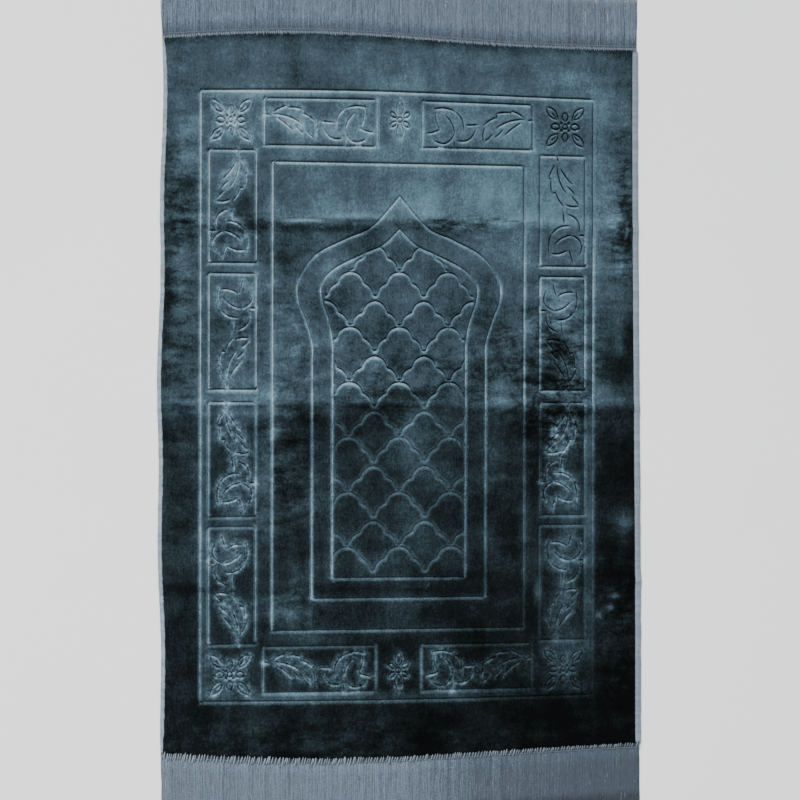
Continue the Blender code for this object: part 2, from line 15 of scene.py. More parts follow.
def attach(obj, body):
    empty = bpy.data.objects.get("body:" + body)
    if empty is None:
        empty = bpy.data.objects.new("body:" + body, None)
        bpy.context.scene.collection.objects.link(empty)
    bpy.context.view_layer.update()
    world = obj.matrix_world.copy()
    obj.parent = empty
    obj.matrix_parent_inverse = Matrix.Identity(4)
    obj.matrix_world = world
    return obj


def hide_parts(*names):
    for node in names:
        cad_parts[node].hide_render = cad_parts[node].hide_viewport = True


# ---- the rug, as in the solids
HALF_LENGTH = 0.59
HALF_WIDTH = 0.394
MAT_HEIGHT = 0.009
GAP = 0.0004
BINDING_WIDTH = 0.01
HEADING_WIDTH = 0.009
FULL_HALF = HALF_WIDTH + BINDING_WIDTH
END_EDGE = HALF_LENGTH + GAP  # where the heading starts
LOCK_LENGTH = {1: 0.094, -1: 0.0932}  # far, near
LOCKS = 106

FOLDS = (0.287, -0.014, -0.316)
FOLD_RISE = 0.003
FOLD_SPREAD = 0.009
FOLD_WOBBLE = (0.003, 9.0, 2.0)  # height, radians per metre, shift from fold to fold
FAR_PULL = (0.375, 0.01, 0.006)  # from where, even part, part that leans to the left
NEAR_PULL = (0.47, 0.014, 0.003)
SIDE_WAVES_FROM = 0.34
LEFT_WAVES = ((0.0034, 5.2, 0.26), (0.0016, 20.9, -0.8))  # height, radians per metre, phase
RIGHT_WAVES = ((0.0046, 2.6, 1.57),)

AXIS_X = -0.007
OUTER_FRAME = (0.3305, 0.5045)
INNER_FRAME = (0.212, 0.39)
END_BLOCK = (0.038, 0.226, 0.4165, 0.491)
SIDE_BLOCK_X = (0.239, 0.3165)
SIDE_BLOCKS = ((0.408, 0.2215), (0.204, 0.0115), (-0.0095, -0.2), (-0.2165, -0.4115))
# The niches: the corner at the right foot, then up the right half to the tip
OUTER_FOOT = (0.146, -0.337)
OUTER_CURVE = (
    (0.146, 0.06), (0.1465, 0.09), (0.158, 0.129), (0.1705, 0.164), (0.168, 0.197),
    (0.14, 0.237), (0.09, 0.264), (0.046, 0.285), (0.0, 0.337),
)
INNER_FOOT = (0.112, -0.303)
INNER_CURVE = (
    (0.112, 0.06), (0.1125, 0.09), (0.119, 0.127), (0.131, 0.164), (0.13, 0.19),
    (0.108, 0.215), (0.061, 0.239), (0.028, 0.2545), (0.0, 0.282),
)
CELL_HALF_WIDTH = 0.0405
CELL_WIDENING = 0.0003
CELL_HALF_HEIGHT = 0.046
CELL_ROWS = 12
CELL_REACH = (1, 3)  # columns to a side: first row, other rows
CELL_TOP = 0.2086 + CELL_HALF_HEIGHT
CROWN_DROP = (0.0025, 0.0)  # even rows, odd rows
TIP_LIFT = (0.003, 0.0085)
# One side of a cell, crown to notch to tip, in shares of the half cell: x, y, swell
NARROW_CROWN = ((0.5, 0.49, 0.125), (0.92, 0.96, 0.1), (1.0, 1.0, 0.0))
WIDE_CROWN = ((0.54, 0.48, 0.135), (0.92, 0.97, 0.095), (1.0, 1.0, 0.0))
CELL_SIDES = (NARROW_CROWN, WIDE_CROWN)  # even rows, odd rows

# Leaf and tulip of a block, in tenths of a millimetre along it from its outer end and up from
# its lower side: from, to, and the swell to the left of the way
BLOCK_STROKES = (
    # leaf: stem, back, tip, midrib, belly
    (0, 490, 90, 475, 0), (150, 520, 385, 630, 15), (385, 625, 388, 590, 0),
    (388, 595, 632, 570, 15), (630, 565, 620, 510, 0), (620, 510, 845, 375, 20),
    (825, 340, 846, 115, 20), (150, 490, 640, 325, 45), (200, 440, 480, 228, 12),
    (515, 320, 646, 190, -10), (687, 245, 825, 115, -8),
    # tulip: calyx, bowl, outer petal, inner petal, lip, stem
    (955, 388, 1145, 373, -6), (984, 315, 1310, 120, -95), (1190, 280, 1340, 590, 55),
    (1340, 590, 1690, 612, 35), (1500, 525, 1340, 240, -35), (1340, 240, 1690, 115, -110),
    (1650, 590, 1585, 300, 35), (1585, 290, 1810, 222, -12), (1343, 110, 1343, 0, 0),
)
FLOWER_X = 0.281
FLOWER_Y = {1: 0.456, -1: 0.462}  # far, near
FLOWER_LEAF = (0.017, 0.046, 0.0062)  # from and to, measured out from the centre; swell
FLOWER_MIDRIB = (0.0215, 0.034)
FLOWER_PETAL = (0.0085, 0.025, 0.005)
FLOWER_BEAD = 0.0085  # how far out the four small beads sit
BEAD_SIZE = 0.0013
CENTRE_RING = 0.0042
MEDALLION_Y = 0.4595
MEDALLION_PETAL = (0.0055, 0.0315, 0.0058)
MEDALLION_LEAF = (0.006, 0.0205, 0.0036)
MEDALLION_LEAF_TILT = math.radians(34)
RING_SIDES = 14

# ---- the pile's relief
# Depth and half width of a line's cut; depth of the pile that leans into it, how wide it leans
# on the far and on the near bank, and how broad that is in the near half
PRESSES = {
    "line": (0.0022, 0.0013, 0.0016, 0.0034, 0.0066, 1.5),
    "trellis": (0.0022, 0.0013, 0.0016, 0.0042, 0.0072, 1.75),
    "stroke": (0.0018, 0.0011, 0.0012, 0.0024, 0.0046, 1.1),
}
PRESSES["block"] = PRESSES["line"]
LINE_ROWS = (0.0, 0.0008, 0.0016, 0.0026, 0.0042, 0.0066)  # where points stand beside a line
STROKE_ROWS = (0.0, 0.0008, 0.0016, 0.0028, 0.0046)
STRAIGHT_STEP = 0.0062
CURVE_STEP = 0.0032
OPEN_STEP = 0.0068
FOLD_STEP = 0.0034
CUT_SHADE_SHIFT = (0.0007, 0.0017)  # where the cut's painted shade is darkest, under its far bank: far, near half
CUT_SHADE_WIDTH = 0.0009
BANK_BLUR = 0.0008
PAINTED_SHEEN_WIDTH = 0.0062
FOLD_BAND = 0.02
CLOSEST = 0.0006
# The pile's rim: how far in, how far down
RIM = ((0.0, 0.0032), (0.0006, 0.0019), (0.0016, 0.001), (0.0032, 0.0003), (0.006, 0.0))
SPREAD_FROM = 0.02  # it leans out over its neighbours from there on
SPREAD = {"side": 0.003, "end": 0.0012}
RIGHT_SPREAD = 0.25  # of that, on the right side
CORNER_FLARE = (0.05, 0.0035)  # along the sides, from how far off the corner, how much
# Height of each turn below the rim, and its share of the spread
WALL_LEVELS = ((0.0055, 0.6), (0.0049, 0.0), (0.002, 0.0), (0.0, 0.0))
RIM_STEP = 0.0045
BACK_STEP = 0.024
BACK_TONE = 0.25
LOOSE_ORDER = 9  # points off the grooves give way to all others
WRINKLE_STEP = 0.004
PILE_VALUES = ("tone", "band", "core", "dust", "crumple")

# How much painted light lies on the banks, and how dark the painted shade is in the cuts across and
# along the rug: for the far left, the far right and the near half
LOOKS = {
    "line": ((1.2, 0.95, 1.12), (0.62, 0.85, 0.36), (0.62, 0.55, 0.22)),
    "block": ((0.98, 0.9, 0.92), (0.62, 0.85, 0.36), (0.62, 0.55, 0.22)),
    "trellis": ((1.45, 0.95, 0.84), (0.95, 0.95, 0.12), (0.6, 0.7, 0.08)),
    "stroke": ((1.25, 0.85, 0.75), (1.0, 1.45, 0.95), (0.8, 1.3, 0.8)),
}
PAINTED_SHEEN_FORCE = (1.0, 0.25, 1.5)  # how much painted sheen lies on the pile round the motifs, likewise
NEAR_HALF_BAND = (0.0026, 0.0038)  # how wide the pile leans there, on the far and near bank
NEAR_RIGHT_SHARE = 0.42  # of the light on banks and motifs, in the near right corner
NEAR_RIGHT = ((0.05, 0.25), (0.1, 0.45))  # from where to where it sets in: x, -y
LEFT_TO_RIGHT = (-0.1, 0.12)  # where the left goes over into the right
NEAR_TO_FAR = (-0.03, 0.01)  # where the near half goes over into the far half
END_FADE = 0.85  # how far an open stroke fades at its ends
UPRIGHT_LEAN = 0.12  # how far an upright line's banks are like a near bank
FAR_BANK = (0.25, 0.8)  # light of a far bank, next to a near bank's: far half, near half
STRAIGHT_LIGHT = (0.8, 0.55)  # of a straight line: on its banks, and along an upright one's middle
PEAK_WIDTH = 0.0011  # of that middle
HALO = (0.24, 0.0062)  # painted sheen on the pile along a straight line: how light, how wide
NEAR_CROSS = 0.78  # of the light on a straight line's banks across the rug, in the near half
RIGHT_LOSS = (0.75, 0.45)  # of upright lines' light on the right: past the first fold, near half
STRIP_TONE = (0.02, -0.03, 0.11)  # how much lighter the strip between frame and blocks is
PAINTED_END_SHADE = (0.34, 0.25)  # how much darker the mat gets at its far end and near end, as painted shade
PAINTED_SIDE_SHADE = (0.06, 0.22, 0.16)  # and at its left side, its right side, and there in the near half, likewise painted shade
SIDE_DIM_FROM = (0.335, 0.392)
UPRIGHT_SHIFT = 0.0021  # of the darkest painted shade in an upright line, away from the rug's middle

# How light the open pile looks, from the far end to the near end: partly its nap, partly painted light
# and shade, with a painted step of light and shade at each fold: place along the rug, tone left and
# right
TONES = (
    (0.6, 0.43, 0.46), (0.55, 0.48, 0.49), (0.46, 0.48, 0.53),
    (0.35, 0.43, 0.6), (0.296, 0.49, 0.6), (0.282, 0.31, 0.53),
    (0.24, 0.38, 0.53), (0.12, 0.38, 0.38), (0.03, 0.41, 0.35),
    (-0.008, 0.46, 0.37), (-0.024, 0.25, 0.14), (-0.15, 0.29, 0.15),
    (-0.308, 0.29, 0.13), (-0.324, 0.24, 0.1), (-0.46, 0.23, 0.08),
    (-0.56, 0.19, 0.01), (-0.61, 0.17, -0.02),
)


# ---- laying and plan geometry
def ramp(value, start, stop):
    return np.clip((value - start) / (stop - start), 0.0, 1.0)


def between(start, stop, share):
    return start + (stop - start) * share


def fold_lines(x):
    height, rate, shift = FOLD_WOBBLE
    return [level + height * np.sin(rate * x + shift * n) for n, level in enumerate(FOLDS)]


def fold_rise(x, y):
    return sum(FOLD_RISE * np.exp(-(((y - line) / FOLD_SPREAD) ** 2)) for line in fold_lines(x))


def lay(points):
    """Where points of the flat, square rug come to lie."""
    x, y, z = np.asarray(points, dtype=float).T
    across = math.pi * (x / (2 * HALF_WIDTH) + 0.5)
    pull = np.zeros_like(x)
    for end, (start, even, leaning) in ((1, FAR_PULL), (-1, NEAR_PULL)):
        share = ramp(end * y, start, HALF_LENGTH)
        pull += end * (share * even * np.sin(across) + share**3 * leaning * np.sin(2 * across))
    wave = np.zeros_like(x)
    for side, waves in ((-1, LEFT_WAVES), (1, RIGHT_WAVES)):
        share = ramp(side * x, SIDE_WAVES_FROM, HALF_WIDTH)
        wave += side * share * sum(h * np.cos(rate * y + phase) for h, rate, phase in waves)
    return np.stack((x + wave, y + pull, z + fold_rise(x, y)), axis=-1)


def arc(start, stop, swell, step=CURVE_STEP):
    """Points from start to stop, swelling to the left of the way."""
    way = stop - start
    left = Vector((-way.y, way.x)).normalized()
    steps = max(2, round(way.length / step))
    shares = [i / steps for i in range(steps + 1)]
    return [start.lerp(stop, t) + left * (4 * swell * t * (1 - t)) for t in shares]


class Groove:
    """A pressed line: its points on the flat mat, and its kind."""

    def __init__(self, points, kind, closed=False):
        points = [Vector(point) for point in points]
        self.points = np.array(points + points[:1] if closed else points)
        self.kind = kind
        self.press = PRESSES[kind]
        self.rows = STROKE_ROWS if kind == "stroke" else LINE_ROWS
        self.fades = kind == "stroke" and not closed

    def shares(self):
        """How far along the line each of its points is."""
        runs = np.hypot(*np.diff(self.points, axis=0).T)
        walked = np.concatenate(([0.0], np.cumsum(runs)))
        return walked / walked[-1]


def stroke(points, closed=False):
    return Groove(points, "stroke", closed)


def rectangle(x0, x1, y0, y1, kind="block"):
    corners = [Vector(corner) for corner in ((x0, y0), (x1, y0), (x1, y1), (x0, y1))]
    points = []
    for start, stop in zip(corners, corners[1:] + corners[:1]):
        points += arc(start, stop, 0.0, STRAIGHT_STEP)[:-1]
    return Groove(points, kind, closed=True)


def flowing(points):
    """A smooth line through points."""
    padded = [2 * points[0] - points[1]] + points + [2 * points[-1] - points[-2]]
    out = [points[0]]
    for a, b, c, d in zip(padded, padded[1:], padded[2:], padded[3:]):
        steps = max(1, round((c - b).length / CURVE_STEP))
        for t in (step / steps for step in range(1, steps + 1)):
            bend = (2 * a - 5 * b + 4 * c - d) * t**2 + (3 * b - a - 3 * c + d) * t**3
            out.append((2 * b + (c - a) * t + bend) / 2)
    return out


def niche(foot, curve):
    """The closed outline of a niche, from its right half."""
    corner, right = Vector((-foot[0], foot[1])), Vector(foot)
    half = arc(right, Vector(curve[0]), 0.0, STRAIGHT_STEP)[:-1]
    half += flowing([Vector(point) for point in curve])
    other = [Vector((-point.x, point.y)) for point in reversed(half[:-1])]
    base = arc(corner, right, 0.0, STRAIGHT_STEP)[1:-1]
    return [point + Vector((AXIS_X, 0)) for point in half + other + base]


def inside(point, outline):
    found = False
    for a, b in zip(outline, outline[1:] + outline[:1]):
        if (a.y > point.y) != (b.y > point.y):
            if point.x < a.x + (b.x - a.x) * (point.y - a.y) / (b.y - a.y):
                found = not found
    return found


def trimmed(points, outline):
    """The runs of a line that lie within an outline."""
    runs = [[]]
    for point in points:
        if inside(point, outline):
            runs[-1].append(point)
        elif runs[-1]:
            runs.append([])
    return [run for run in runs if len(run) > 2]


def crown_at(column, row):
    width = CELL_HALF_WIDTH + row * CELL_WIDENING
    height = CELL_TOP - row * CELL_HALF_HEIGHT - CROWN_DROP[row % 2]
    return Vector((AXIS_X + column * width, height))


def cell_side(column, row, way):
    """One side of a cell, from its crown out and down to a tip."""
    crown = crown_at(column, row)
    tip = crown_at(column + way, row + 1) + Vector((0, TIP_LIFT[row % 2]))
    reach = tip - crown
    points = [crown]
    for x, y, swell in CELL_SIDES[row % 2]:
        stop = crown + reach * Vector((x, y))
        points += arc(points[-1], stop, way * swell * CELL_HALF_WIDTH)[1:]
    return points


def trellis(outline):
    grooves = []
    for row in range(CELL_ROWS):
        reach = CELL_REACH[row > 0]
        for column in range(-reach, reach + 1):
            if (row + column) % 2:
                for way in (-1, 1):
                    runs = trimmed(cell_side(column, row, way), outline)
                    grooves += [Groove(run, "trellis") for run in runs]
    return grooves


def block_motif(corner, along, up):
    """Leaf and tulip, drawn from a block's corner along it and up across it."""
    grooves = []
    turned = along.x * up.y - along.y * up.x
    for row in BLOCK_STROKES:
        x0, y0, x1, y1, swell = (number / 10000 for number in row)
        start = corner + along * x0 + up * y0
        stop = corner + along * x1 + up * y1
        grooves.append(stroke(arc(start, stop, swell * turned)))
    return grooves


def across(side, inner, outer):
    return sorted((AXIS_X + side * inner, AXIS_X + side * outer))


def end_blocks():
    x0, x1, y0, y1 = END_BLOCK
    grooves = []
    for side in (-1, 1):
        for low, high in ((y0, y1), (-y1, -y0)):
            grooves.append(rectangle(*across(side, x0, x1), low, high))
            corner = Vector((AXIS_X + side * x1, low))
            grooves += block_motif(corner, Vector((-side, 0)), Vector((0, 1)))
    return grooves


def side_blocks():
    """Four blocks down each side; each motif turns its back on the one before."""
    x0, x1 = SIDE_BLOCK_X
    grooves = []
    for side in (-1, 1):
        left, right = across(side, x0, x1)
        for number, (high, low) in enumerate(SIDE_BLOCKS):
            grooves.append(rectangle(left, right, low, high))
            leaf_up = 1 if number % 2 == 0 else -1
            out = -side if number in (0, 3) else side
            corner = Vector((left if out > 0 else right, high if leaf_up > 0 else low))
            grooves += block_motif(corner, Vector((0, -leaf_up)), Vector((out, 0)))
    return grooves


def towards(angle):
    return Vector((math.cos(angle), math.sin(angle)))


def petal(centre, angle, size):
    """Two arcs that meet in a point at both ends."""
    start, stop, swell = size
    near, far = (centre + towards(angle) * reach for reach in (start, stop))
    return [stroke(arc(near, far, bend)) for bend in (swell, -swell)]


def ring(centre, radius):
    turns = (math.tau * i / RING_SIDES for i in range(RING_SIDES))
    return stroke([centre + radius * towards(turn) for turn in turns], closed=True)


def flower(centre):
    """A bead ring, four petals on the axes and four long leaves on the diagonals."""
    grooves = [ring(centre, CENTRE_RING)]
    for quarter in range(4):
        grooves += petal(centre, quarter * math.pi / 2, FLOWER_PETAL)
        diagonal = (quarter + 0.5) * math.pi / 2
        way = towards(diagonal)
        grooves.append(ring(centre + way * FLOWER_BEAD, BEAD_SIZE))
        grooves += petal(centre, diagonal, FLOWER_LEAF)
        start, stop = FLOWER_MIDRIB
        grooves.append(stroke(arc(centre + way * start, centre + way * stop, 0.0)))
    return grooves


def medallion(centre):
    """A bead ring between two upright petals and four short leaves."""
    grooves = [ring(centre, CENTRE_RING)]
    for upright in (math.pi / 2, -math.pi / 2):
        grooves += petal(centre, upright, MEDALLION_PETAL)
    for base in (0, math.pi):
        for tilt in (MEDALLION_LEAF_TILT, -MEDALLION_LEAF_TILT):
            grooves += petal(centre, base + tilt, MEDALLION_LEAF)
    return grooves


def embossing():
    grooves = []
    for half_width, half_length in (OUTER_FRAME, INNER_FRAME):
        left, right = across(1, -half_width, half_width)
        grooves.append(rectangle(left, right, -half_length, half_length, "line"))
    outline = niche(INNER_FOOT, INNER_CURVE)
    for path in (niche(OUTER_FOOT, OUTER_CURVE), outline):
        grooves.append(Groove(path, "line", closed=True))
    grooves += trellis(outline) + end_blocks() + side_blocks()
    for end in (-1, 1):
        grooves += medallion(Vector((AXIS_X, end * MEDALLION_Y)))
        for side in (-1, 1):
            grooves += flower(Vector((AXIS_X + side * FLOWER_X, end * FLOWER_Y[end])))
    return grooves


# ---- the pile
def beside(groove):
    """Rows of points along a groove: its centre, then both sides."""
    points = groove.points
    ways = np.gradient(points, axis=0)
    ways /= np.maximum(np.hypot(*ways.T), 1e-9)[:, None]
    lefts = np.stack((-ways[:, 1], ways[:, 0]), axis=-1)
    rows = [(0, points)]
    for number, off in enumerate(groove.rows[1:], 1):
        rows += [(number, points + lefts * off), (number, points - lefts * off)]
    return rows


def close_by(points, path, margin):
    """Which points lie in the box round a path."""
    low, high = path.min(axis=0) - margin, path.max(axis=0) + margin
    return np.nonzero(np.all((points > low) & (points < high), axis=1))[0]


def measure(grooves, points):
    """What the grooves do to each point: how deep the pile is, how much painted light lies on a bank,
    how much painted shade at the bottom of a cut, how much painted sheen round a motif, and how far
    off a groove (clear).
    """
    found = {name: np.zeros(len(points)) for name in ("depth", "band", "core", "dust")}
    found["clear"] = np.full(len(points), 1.0)
    for groove in grooves:
        near = close_by(points, groove.points, 2.0 * groove.press[4])
        for name, values in press_at(groove, points[near]).items():
            pick = np.minimum if name == "clear" else np.maximum
            found[name][near] = pick(found[name][near], values)
    return found


def by_place(points, forces):
    """One of three values: far left, far right, near half."""
    left, right, near = forces
    x, y = points.T
    corner = 1 - (1 - NEAR_RIGHT_SHARE) * ramp(x, *NEAR_RIGHT[0]) * ramp(-y, *NEAR_RIGHT[1])
    far = between(left, right, ramp(x, *LEFT_TO_RIGHT))
    return between(near * corner, far, ramp(y, *NEAR_TO_FAR))


def press_at(groove, points):
    cut, cut_width, lean, far_width, near_width, broad = groove.press
    straight = groove.kind in ("line", "block")
    motif = groove.kind == "stroke"
    bank_light_force, cross_cut_shade, upright_cut_shade = LOOKS[groove.kind]
    near_half = ramp(-points[:, 1], 0.0, 0.03)
    far_width = between(far_width, broad * NEAR_HALF_BAND[0], near_half)
    near_width = between(near_width, broad * NEAR_HALF_BAND[1], near_half)
    away, share, crosswise = distance(points, groove.points, groove.shares())
    upright = 1 - crosswise
    off = np.hypot(*away.T)
    fade = 1 - END_FADE * np.abs(2 * share - 1) ** 4 if groove.fades else 1.0

    bank = np.clip(-away[:, 1] / np.maximum(off, BANK_BLUR), -1, 1)
    near, far = crosswise * np.clip(bank, 0, 1), crosswise * np.clip(-bank, 0, 1)
    width = between(far_width, near_width, near + UPRIGHT_LEAN * upright)
    deep = cut * np.exp(-((off / cut_width) ** 2)) + lean * np.clip(1 - off / width, 0, 1)

    # painted light on the cut's banks
    lit = np.clip(1 - (off / width) ** 2, 0, 1) ** (1 - 0.5 * near_half)
    loss = RIGHT_LOSS[0] * ramp(points[:, 1], 0.22, 0.3) + RIGHT_LOSS[1] * near_half
    shown = upright * (1 - loss * ramp(points[:, 0], 0.0, 0.2))
    if straight:
        peak = upright * np.exp(-((off / PEAK_WIDTH) ** 2))
        halo = HALO[0] * np.exp(-((off / HALO[1]) ** 2))
        weaker = 1 - (1 - NEAR_CROSS) * near_half
        lit = (STRAIGHT_LIGHT[0] * lit + STRAIGHT_LIGHT[1] * peak + halo) * weaker
        shown = shown / weaker
    lit = lit * (near + between(*FAR_BANK, near_half) * far + shown)

    # painted shade along the bottom of the cut
    shift = 0.0 if motif else UPRIGHT_SHIFT
    aside = -np.clip(points[:, 0] / 0.1, -1, 1) * shift * upright
    drop = between(*CUT_SHADE_SHIFT, 0.0 if motif else near_half)
    under = np.hypot(away[:, 0] - aside, away[:, 1] - drop * crosswise)
    core = crosswise * by_place(points, cross_cut_shade) + upright * by_place(points, upright_cut_shade)
    # painted sheen on the pile round a motif's strokes
    painted_sheen_force = float(motif) * by_place(points, PAINTED_SHEEN_FORCE)
    return {
        "depth": deep * fade,
        "band": lit * fade * by_place(points, bank_light_force),
        "core": core * np.exp(-((under / CUT_SHADE_WIDTH) ** 2)) * fade,
        "dust": painted_sheen_force * np.exp(-((off / PAINTED_SHEEN_WIDTH) ** 2)),
        "clear": off,
    }


def distance(points, path, shares):
    """The way to each point from a path's nearest place, that place, and how crosswise it runs."""
    best = np.full(len(points), 1.0)
    away = np.zeros((len(points), 2))
    along = np.zeros(len(points))
    crosswise = np.zeros(len(points))
    for a, b, s0, s1 in zip(path, path[1:], shares, shares[1:]):
        way = b - a
        length = max(float(way @ way), 1e-12)
        t = np.clip((points - a) @ way / length, 0, 1)
        gap = points - a - t[:, None] * way
        off = np.hypot(*gap.T)
        closer = off < best
        best[closer] = off[closer]
        away[closer] = gap[closer]
        along[closer] = (s0 + (s1 - s0) * t)[closer]
        crosswise[closer] = abs(way[0]) / math.sqrt(length)
    return away, along, crosswise


def rim_loop(inset):
    """The mat's outline, drawn in by inset, from its near left corner."""
    x1, y1 = HALF_WIDTH - inset, HALF_LENGTH - inset
    xs = np.linspace(-x1, x1, round(2 * HALF_WIDTH / RIM_STEP) + 1)
    ys = np.linspace(-y1, y1, round(2 * HALF_LENGTH / RIM_STEP) + 1)
    loop = [(x, -y1) for x in xs[:-1]] + [(x1, y) for y in ys[:-1]]
    loop += [(x, y1) for x in xs[:0:-1]] + [(-x1, y) for y in ys[:0:-1]]
    return np.array(loop)


def thinned(points, order):
    """Points without those that stand too close to one of a lower order."""
    ranked = np.argsort(order, kind="stable")
    cells = np.round(points[ranked] / CLOSEST).astype(int)
    _, first = np.unique(cells, axis=0, return_index=True)
    return points[ranked[np.sort(first)]]


def open_points(grooves, draw):
    """Scattered points off the grooves, denser at the folds."""
    out = []
    half = np.array((HALF_WIDTH, HALF_LENGTH)) - 0.008
    for step, folded in ((OPEN_STEP, False), (FOLD_STEP, True)):
        xs, ys = np.arange(-half[0], half[0], step), np.arange(-half[1], half[1], step * 0.87)
        grid = np.array([(x + step / 2 * (n % 2), y) for n, y in enumerate(ys) for x in xs])
        grid += draw.uniform(-0.25 * step, 0.25 * step, grid.shape)
        off = np.min([np.abs(grid[:, 1] - line) for line in fold_lines(grid[:, 0])], axis=0)
        grid = grid[((off <= FOLD_BAND) == folded) & np.all(np.abs(grid) < half, axis=1)]
        clear = measure(grooves, grid)["clear"]
        out.append(grid[clear > LINE_ROWS[-1] + 0.4 * step])
    return np.concatenate(out)


def noise(x, y, seed, scale):
    """Smooth noise from -1 to 1, with features about scale across."""
    draw = np.random.default_rng(seed)
    grid = draw.uniform(-1, 1, (64, 64))
    u, v = x / scale + 31.0, y / scale + 29.0
    i, j = np.floor(u).astype(int), np.floor(v).astype(int)
    s, t = u - i, v - j
    s, t = s * s * (3 - 2 * s), t * t * (3 - 2 * t)
    a, b = grid[i % 64, j % 64], grid[(i + 1) % 64, j % 64]
    c, d = grid[i % 64, (j + 1) % 64], grid[(i + 1) % 64, (j + 1) % 64]
    return (a * (1 - s) + b * s) * (1 - t) + (c * (1 - s) + d * s) * t


# The pile's own unevenness, everywhere and along the folds: height, stretch, seed, scale
SWELLS = ((0.0003, 1, 1, 0.022), (0.00015, 1, 2, 0.008))
RUFFLES = ((0.0009, 2.6, 3, 0.016), (0.0004, 2, 4, 0.006))
RUFFLE_BAND = (0.002, 0.011)  # how far before the fold it lies, half width


def layered(x, y, layers):
    return sum(height * noise(x, y * stretch, seed, scale) for height, stretch, seed, scale in layers)


def pile_relief(x, y):
    ruffle = np.zeros_like(x)
    before, width = RUFFLE_BAND
    for line in fold_lines(x):
        ruffle += np.exp(-(((y - line + before) / width) ** 2)) * layered(x, y, RUFFLES)
    return layered(x, y, SWELLS) + ruffle


# The next tables are in thousandths, of a metre and of the tone.
# Lighter and darker places in the pile, partly brushed nap and partly painted light and shade of folds
# and crumples: x, y, half width, half length, change of tone
MARKS = (
    # far end
    (-360, 560, 40, 30, -60), (366, 531, 22, 6, -100), (-200, 497, 130, 6, 170),
    (-7, 462, 35, 30, 100), (-140, 458, 60, 30, 50), (275, 458, 50, 40, -80),
    (-288, 456, 15, 15, 200), (212, 455, 12, 40, 90), (372, 430, 30, 70, -110),
    (-370, 425, 26, 50, 100), (297, 418, 30, 20, 50), (-300, 408, 30, 20, 60),
    (-7, 405, 60, 20, 60),
    # left margin
    (-391, 380, 8, 60, -60), (-374, 330, 26, 34, -150), (-374, 200, 20, 40, 90),
    (-391, 120, 8, 150, -120), (-366, -4, 20, 10, -130), (-376, -28, 16, 12, 60),
    (-376, -100, 16, 30, -50), (-374, -295, 20, 70, -50), (-374, -345, 20, 24, 70),
    # left blocks
    (-281, 364, 15, 26, 130), (-290, 316, 50, 26, -180), (-300, 270, 40, 14, 90),
    (-230, 2, 18, 14, 180), (-260, -27, 140, 6, 180), (-228, -110, 11, 85, 160),
    (-285, -180, 26, 110, 40), (-300, -300, 40, 26, -120),
    # field left of the niche
    (-214, 306, 24, 14, 170), (-180, 130, 30, 60, 100), (-214, -2, 18, 12, 80),
    (-216, -58, 9, 12, 200), (-155, -354, 6, 36, 160), (-188, -356, 26, 34, 220),
    # niche
    (80, 330, 110, 40, 80), (-14, 318, 30, 14, 60), (68, 288, 72, 14, -160),
    (-80, 284, 50, 10, -100), (-10, 276, 20, 12, 90), (-118, 205, 30, 24, 100),
    (-130, 200, 30, 24, 50), (-125, 0, 26, 12, -100), (35, -2, 90, 16, -140),
    (110, -2, 20, 12, -60), (-125, -26, 20, 12, 60), (-7, -88, 30, 30, 70),
    (-10, -160, 90, 120, 70), (-40, -275, 60, 30, 100), (115, -298, 30, 26, -90),
    (10, -342, 60, 16, 80),
    # field right of the niche
    (205, 270, 30, 16, 90), (215, 82, 26, 50, 80), (165, -105, 30, 36, 60),
    (209, -225, 12, 70, 110), (220, -303, 180, 14, -90), (229, -328, 6, 18, 260),
    # right blocks
    (297, 318, 30, 14, -60), (297, 88, 30, 26, 90), (290, 0, 40, 14, 120),
    (276, -225, 27, 180, 150), (324.5, -250, 6, 200, 100), (316.5, -300, 7, 160, 120),
    (285, -400, 45, 80, 160),
    # right margin
    (374, 372, 12, 15, -120), (386, 300, 10, 14, -180), (384, 280, 12, 80, -120),
    (374, 268, 22, 20, -130), (370, 205, 20, 25, 90), (388, 108, 10, 28, -160),
    (368, 80, 14, 12, 130), (366, 54, 26, 36, -200), (345, 12, 30, 16, 160),
    (333, -112, 7, 12, 120), (374, -218, 20, 26, 270),
    # near end
    (-165, -405, 55, 11, 140), (212, -446, 24, 34, 100), (-150, -452, 70, 28, 30),
    (-7, -458, 26, 34, -100), (-150, -498, 100, 8, 150), (140, -498, 120, 7, 50),
    # finger marks and dimples
    (361, -338, 9, 4, 360), (353, -359, 7, 6, 500), (335, -371, 6, 7, 400),
    (362, -480, 7, 6, 180), (-358, -536, 12, 4, 140), (-344, -548, 8, 4, 120),
    (310, -560, 12, 5, 140), (-184, -562, 6, 6, 140),
)
